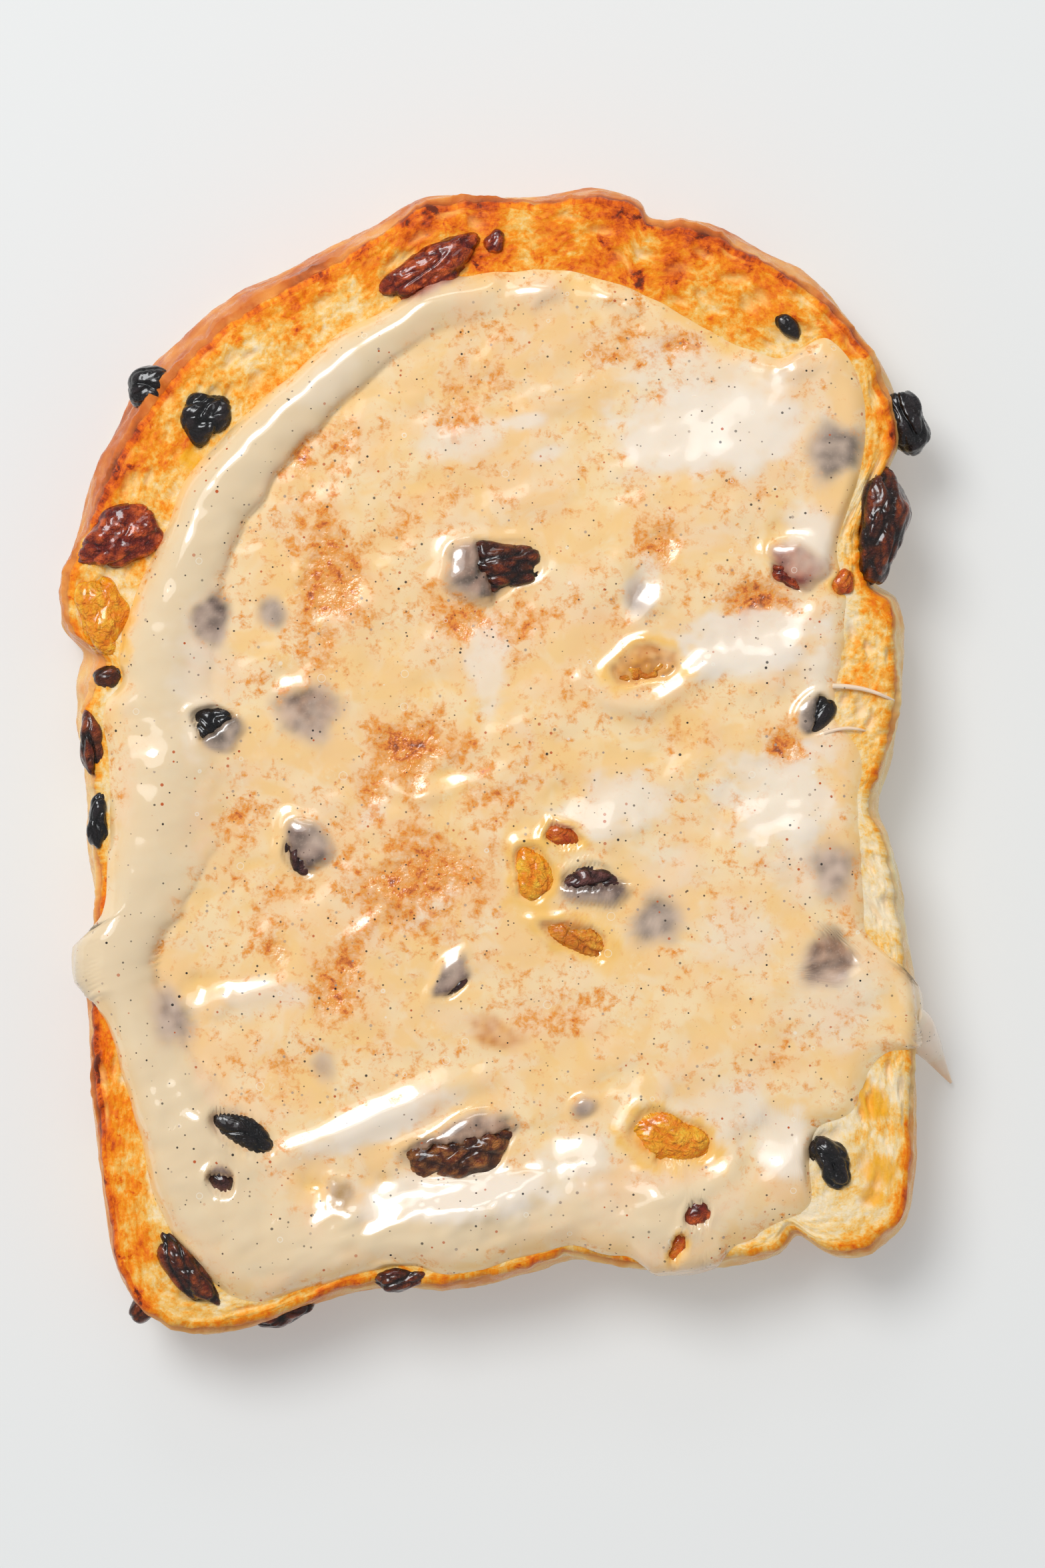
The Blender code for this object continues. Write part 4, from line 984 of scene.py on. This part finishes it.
class Recipe:
    """A material's nodes, added one by one from left to right."""

    def __init__(self, name):
        self.material = bpy.data.materials.new(name)
        self.material.use_nodes = True
        self.nodes = self.material.node_tree.nodes
        self.links = self.material.node_tree.links
        self.place = self.nodes.new("ShaderNodeTexCoord").outputs["Object"]

    def feed(self, sockets, values):
        """Feeds each named socket another node's output, a number or a colour."""
        for name, value in values.items():
            socket = sockets[name]
            if isinstance(value, bpy.types.NodeSocket):
                self.links.new(value, socket)
            elif isinstance(value, (int, float)):
                socket.default_value = value
            else:
                socket.default_value = (*value, 1) if len(socket.default_value) == 4 else tuple(value)

    def add(self, kind, values, **settings):
        """A new node, its settings made first, because some of them change which sockets it has."""
        node = self.nodes.new("ShaderNode" + kind)
        for name, setting in settings.items():
            setattr(node, name, setting)
        self.feed(node.inputs, values)
        return node

    def finished(self, values):
        """The finished material, its shader's sockets fed."""
        self.feed(self.nodes["Principled BSDF"].inputs, values)
        return self.material

    def layer(self, name, output="Fac"):
        return self.add("Attribute", {}, attribute_name=name).outputs[output]

    def noise(self, per_mm, detail=3.0, roughness=0.55, distortion=0.0, place=None, unit=MM):
        """Cloudy noise, so many features a millimetre, on the piece's place or on a layer given in units."""
        place = self.place if place is None else place
        grown = {"Detail": detail, "Roughness": roughness, "Distortion": distortion}
        return self.add("TexNoise", {"Vector": place, "Scale": per_mm / unit, **grown}).outputs["Fac"]

    def dots(self, per_mm):
        """Scattered dots, so many a millimetre: the distance to the nearest, and its three random numbers."""
        node = self.add("TexVoronoi", {"Vector": self.place, "Scale": per_mm / MM})
        numbers = self.add("SeparateColor", {"Color": node.outputs["Color"]}).outputs
        return node.outputs["Distance"], numbers["Red"], numbers["Green"], numbers["Blue"]

    def maths(self, operation, first, second=0.5, third=0.0):
        return self.add("Math", {0: first, 1: second, 2: third}, operation=operation).outputs[0]

    def times(self, first, second):
        return self.maths("MULTIPLY", first, second)

    def swayed(self, value, cloud, strength):
        """A value moved up and down by a noise about its middle."""
        return self.maths("MULTIPLY_ADD", self.maths("SUBTRACT", cloud, 0.5), strength, value)

    def step(self, value, low, high, to_low=0.0, to_high=1.0):
        """A smooth step of a value from one range to another."""
        spans = {"From Min": low, "From Max": high, "To Min": to_low, "To Max": to_high}
        node = self.add("MapRange", {"Value": value, **spans}, interpolation_type="SMOOTHSTEP")
        return node.outputs["Result"]

    def mix(self, share, first, second, blend="MIX"):
        values = {"Factor": share, 6: first, 7: second}
        return self.add("Mix", values, data_type="RGBA", blend_type=blend).outputs[2]

    def ramp(self, value, stops):
        node = self.add("ValToRGB", {"Fac": value})
        band = node.color_ramp
        while len(band.elements) < len(stops):
            band.elements.new(0.5)
        for element, (place, colour) in zip(band.elements, stops):
            element.position = place
            element.color = (*paint(*colour), 1)
        return node.outputs["Color"]

    def bumped(self, height, distance, strength, under=None):
        """The surface's normal, tilted by a relief so many metres high, over another where one is given."""
        beneath = {} if under is None else {"Normal": under}
        values = {"Strength": strength, "Distance": distance, "Height": height, **beneath}
        return self.add("Bump", values).outputs["Normal"]


def milk_colour(mat, veil, milky, thick, over_dark):
    """The milk by itself: rosy in drifts where it is thin, white in the veils, which are partly painted
    sheen, and greyer over dark fruit.
    """
    milk = mat.mix(mat.step(veil, 0.35, 0.95), MILK_THIN, MILK_THICK)
    drift = mat.step(mat.noise(0.09, 4, 0.55, 0.9), 0.4, 0.6, 0.0, 0.6)
    rosy = mat.times(drift, mat.maths("SUBTRACT", 1.0, thick))
    for share, colour in ((rosy, MILK_ROSY), (milky, MILK_SHEEN_WHITE), (over_dark, MILK_ON_DARK)):
        milk = mat.mix(share, milk, colour)
    return milk


def grained(mat, body, toast, see_through):
    """The crumb's grain through the glaze: pale and golden grains in patches and where it is toasted."""
    patches = mat.step(mat.noise(0.22, 4, 0.6, 0.4), 0.54, 0.7, 0.0, 0.5)
    strength = mat.times(mat.maths("MAXIMUM", patches, mat.step(toast, 0.22, 0.55)), see_through)
    grain = mat.noise(1.3, 6, 0.7, 0.3)
    body = mat.mix(mat.times(mat.step(grain, 0.5, 0.38, 0.0, 0.6), strength), body, GRAIN_PALE)
    return mat.mix(mat.times(mat.step(grain, 0.51, 0.62, 0.0, 0.7), strength), body, GRAIN_GOLD)


def glaze_material():
    """Milky butter glaze: crumb flecked where it is toasted, or fruit, seen through a veil of milk."""
    mat = Recipe("milky_butter_glaze")
    under, veil, milky = mat.layer("under", "Color"), mat.layer("veil"), mat.layer("milky")
    toast, thick, over_dark = mat.layer("toast"), mat.layer("thick"), mat.layer("over_dark")
    off_fruit = mat.maths("SUBTRACT", 1.0, mat.layer("over_fruit"))
    see_through = mat.times(mat.step(veil, 0.58, 0.9, 1.0, 0.0), off_fruit)
    cluster = mat.noise(0.17, 3, 0.6, 0.6)
    yolk = mat.times(mat.step(cluster, 0.46, 0.62, 0.0, 0.9), off_fruit)
    milk = milk_colour(mat, veil, milky, thick, over_dark)
    body = mat.mix(veil, mat.mix(yolk, under, CRUMB_YOLK), milk)
    body = mat.mix(mat.times(mat.times(yolk, 0.22), see_through), body, CRUMB_YOLK)
    body = grained(mat, body, toast, see_through)
    amount = mat.maths("MULTIPLY_ADD", toast, 0.27, mat.times(cluster, -0.36))
    peak = mat.maths("ADD", mat.maths("SUBTRACT", mat.noise(0.7, 8, 0.72, 0.25), 0.478), amount)
    browned = mat.times(mat.step(toast, 0.2, 0.8, 0.0, 0.6), see_through)
    body = mat.mix(browned, body, CRUMB_BROWNED)
    halo = mat.times(mat.step(peak, -0.13, 0.02, 0.0, 0.8), see_through)
    body = mat.mix(halo, body, FLECK_HALO)
    flecks = mat.times(mat.step(peak, -0.012, 0.014, 0.0, 0.9), see_through)
    body = mat.mix(flecks, body, mat.ramp(mat.times(peak, 5.0), FLECK_TONES))
    haze = mat.times(mat.step(mat.noise(2.6, 2, 0.7), 0.5, 0.75), mat.times(over_dark, 0.2))
    body = mat.mix(haze, body, MILK_ON_DARK)
    wet = mat.times(mat.step(toast, 0.3, 0.65), see_through)
    normal = mat.bumped(mat.times(mat.noise(0.95, 3, 0.55, 0.1), wet), 0.0007, 0.4)
    gloss = mat.step(mat.noise(0.4, 3, 0.6), 0.35, 0.7, 0.1, 0.2)
    return mat.finished({
        "Base Color": bubbled(mat, speckled(mat, body)), "Normal": mat.bumped(flecks, 0.00012, 0.4, normal),
        "Roughness": mat.maths("MULTIPLY_ADD", thick, -0.06, gloss), "IOR": 1.55,
        "Subsurface Weight": 0.1, "Subsurface Radius": (0.9, 0.7, 0.45), "Subsurface Scale": 0.0005,
        "Coat Weight": 0.5, "Coat Roughness": 0.03,
    })


def speckled(mat, body):
    """Ground spice in the glaze: each dot's size varies, and only the dots whose number is high are kept."""
    for per_mm, radius, colour, fewest in SPICES:
        distance, red, green, blue = mat.dots(per_mm)
        size = mat.maths("MULTIPLY_ADD", blue, 0.8 * radius, 0.6 * radius)
        near = mat.step(distance, mat.times(size, 0.8), size, 1.0, 0.0)
        kept = mat.step(red, fewest, fewest + 0.01)
        strength = mat.maths("MULTIPLY_ADD", green, 0.4, 0.6)
        body = mat.mix(mat.times(mat.times(near, kept), strength), body, paint(*colour))
    return body


def bubbled(mat, body):
    """A few tiny bubbles in the glaze, each a pale ring painted as the highlight on its rim."""
    distance, red, _, blue = mat.dots(0.42)
    ring = mat.maths("COMPARE", distance, mat.maths("MULTIPLY_ADD", blue, 0.12, 0.08), 0.016)
    kept = mat.step(red, 0.82, 0.83, 0.0, 0.5)
    return mat.mix(mat.times(ring, kept), body, BUBBLE_RIM_HIGHLIGHT)


def bread_material():
    """Crumb and crust, pale to dark brown by how toasted they are: open-grained on the cut, then smooth, its
    pits partly painted with shade.
    """
    mat = Recipe("toasted_crumb_and_crust")
    toast, crust, deep = mat.layer("toast"), mat.layer("crust"), mat.layer("deep")
    grain, cloud = mat.noise(1.4, 6, 0.7), mat.noise(0.22, 5, 0.62)
    fibre = mat.noise(1.5, 7, 0.7, 0.3, mat.layer("strand", "Vector"), 1.0)
    varied = mat.swayed(mat.swayed(mat.swayed(toast, fibre, 0.8), grain, 0.6), cloud, 0.9)
    scorched = mat.step(mat.noise(0.3, 5, 0.66, 0.5), 0.56, 0.68, 0.0, 0.3)
    varied = mat.maths("ADD", varied, mat.times(scorched, mat.step(toast, 0.25, 0.6)))
    # The pits take the pit colour: partly their paler inside, partly painted shade
    cut = mat.mix(mat.times(deep, 0.45), mat.ramp(varied, CUT_TONES), CRUMB_PIT_AND_SHADE)
    cut = mat.mix(mat.layer("stain"), cut, PEEL_JUICE)
    smooth = mat.swayed(mat.swayed(toast, cloud, 0.32), grain, 0.16)
    blotches = mat.step(mat.noise(0.3, 3, 0.6, 0.3), 0.48, 0.72, 0.0, 0.1)
    smooth = mat.maths("ADD", smooth, mat.times(blotches, mat.step(toast, 0.2, 0.5)))
    on_cut = mat.maths("MULTIPLY_ADD", crust, -0.85, 1.0)
    normal = mat.bumped(mat.times(fibre, on_cut), 0.0006, 0.32)
    buttered = mat.step(mat.noise(0.5, 4, 0.6), 0.4, 0.62, 0.62, 0.3)
    return mat.finished({
        "Base Color": mat.mix(crust, cut, mat.ramp(smooth, CRUST_TONES)),
        "Normal": mat.bumped(mat.times(grain, on_cut), 0.0005, 0.32, normal),
        "Roughness": mat.maths("MULTIPLY_ADD", crust, -0.1, buttered), "Specular IOR Level": 0.24,
        "Subsurface Weight": 0.2, "Subsurface Radius": (1.0, 0.8, 0.6), "Subsurface Scale": 0.0008,
    })


def fruit_material(name, wrinkles_per_mm, glow, deepening):
    """A dried fruit's wet, wrinkled skin: its colours, lighter on the folds' crests and darker in their
    creases, partly painted highlight and shade, a fine grain, and a clear gloss.
    """
    mat = Recipe(name)
    skin, crest = mat.layer("skin", "Color"), mat.layer("crest")
    grain = mat.noise(1.1, 5, 0.62)
    deeper = mat.mix(1.0, skin, paint(*deepening), "MULTIPLY")
    creases = mat.maths("ABSOLUTE", mat.maths("SUBTRACT", mat.noise(wrinkles_per_mm, 3, 0.6, 0.4), 0.5))
    fine = mat.bumped(creases, 0.0016, 0.9)
    return mat.finished({
        "Base Color": mat.mix(mat.step(grain, 0.38, 0.62), deeper, skin),
        "Normal": mat.bumped(crest, 0.0004, 0.3, fine), "Roughness": mat.step(grain, 0.3, 0.75, 0.25, 0.4),
        "Specular IOR Level": 0.15, "Subsurface Weight": glow, "Subsurface Radius": (1.0, 0.5, 0.1),
        "Subsurface Scale": 0.0012, "Coat Weight": 0.9, "Coat Roughness": 0.05,
        "Coat Normal": mat.bumped(mat.noise(0.9, 1, 0.5), 0.0003, 0.4),
    })


def floor_material():
    return Recipe("pale_plain_floor").finished({
        "Base Color": paint(205, 205, 203), "Roughness": 0.75,
        "Emission Color": paint(238, 239, 238), "Emission Strength": 0.25,
    })


def dress(item, material, slot, *nodes):
    """Gives a piece its material and its body, and hides the solids that it stands for. The slot is not used.
    """
    item.data.materials.append(material)
    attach(item, "root")
    if nodes:
        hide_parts(*nodes)


def thread_path(ax, ay, bx, by, radius):
    """A thread's way over the rim: a shallow arc in plan that thins, and dips at its end."""
    t = np.linspace(0, 1, 9)
    x, y = ax + (bx - ax) * t, ay + (by - ay) * t + 0.5 * np.sin(math.pi * t)
    z = face_height(x, y) + 0.75 - 0.2 * t - 1.4 * rise(t, 0.8, 1.0)
    return np.stack([x, y, z, radius * (1.3 - 0.6 * t)], 1)


def dress_toast():
    dress(bake_bread(), bread_material(), "crumb", "bread_slice")
    glaze = glaze_material()
    dress(pour_glaze(), glaze, "glaze", "butter_glaze")
    dress(draw_tube("butter_glaze_tail", TAIL), glaze, "glaze")
    for number, thread in enumerate(THREADS, 1):
        dress(draw_tube(f"butter_glaze_thread_{number}", thread_path(*thread), 8), glaze, "glaze")
    skins = {kind: fruit_material(*finish) for kind, finish in FRUIT_FINISHES.items()}
    for seed, fruit in enumerate(FRUITS):
        kind = fruit.name.split("_")[0]
        dress(wrinkle_fruit(fruit, seed), skins[kind], kind, fruit.name)


def lay_floor():
    """A square floor a hair below the slice's underside."""
    corners = [(-1, -1), (1, -1), (1, 1), (-1, 1)]
    mesh = bpy.data.meshes.new("floor")
    mesh.from_pydata([(FLOOR_HALF_SIZE * x, FLOOR_HALF_SIZE * y, 0) for x, y in corners], [], [(0, 1, 2, 3)])
    floor = put_in_scene("floor", mesh)
    floor.location.z = -FLOOR_DROP
    mesh.materials.append(floor_material())


def light_stage():
    """Soft oval lights, each turned to face the slice, in faintly blue air."""
    for name, place, (width, height), power in LIGHTS:
        data = bpy.data.lights.new(name, "AREA")
        data.shape = "ELLIPSE"
        data.size, data.size_y = width * MM, height * MM
        data.energy = power
        data.color = DAYLIGHT
        item = put_in_scene(name, data)
        item.location = np.array(place) * MM
        item.rotation_euler = item.location.to_track_quat("Z", "Y").to_euler()
    world = bpy.data.worlds.new("studio_air")
    world.use_nodes = True
    air = world.node_tree.nodes["Background"].inputs
    air["Color"].default_value = (0.93, 0.96, 1.0, 1)
    air["Strength"].default_value = 0.4
    bpy.context.scene.world = world


def set_camera():
    """A camera looking straight down at the photo's middle, as far off as its scale at the cut face needs."""
    camera = bpy.data.cameras.new("camera")
    camera.lens = 100
    camera.sensor_width = 36
    distance = camera.lens / camera.sensor_width * PHOTO_HEIGHT / PIXELS_PER_MM
    x = (PHOTO_WIDTH / 2 - SLICE_MIDDLE_PIXEL[0]) / PIXELS_PER_MM + PLAN_SHIFT[0]
    y = (SLICE_MIDDLE_PIXEL[1] - PHOTO_HEIGHT / 2) / PIXELS_PER_MM + PLAN_SHIFT[1]
    item = put_in_scene("camera", camera)
    item.location = (x * MM, y * MM, (distance + SLICE_THICKNESS) * MM)
    bpy.context.scene.camera = item
    bpy.context.scene.view_settings.view_transform = "Standard"


dress_toast()
lay_floor()
light_stage()
set_camera()
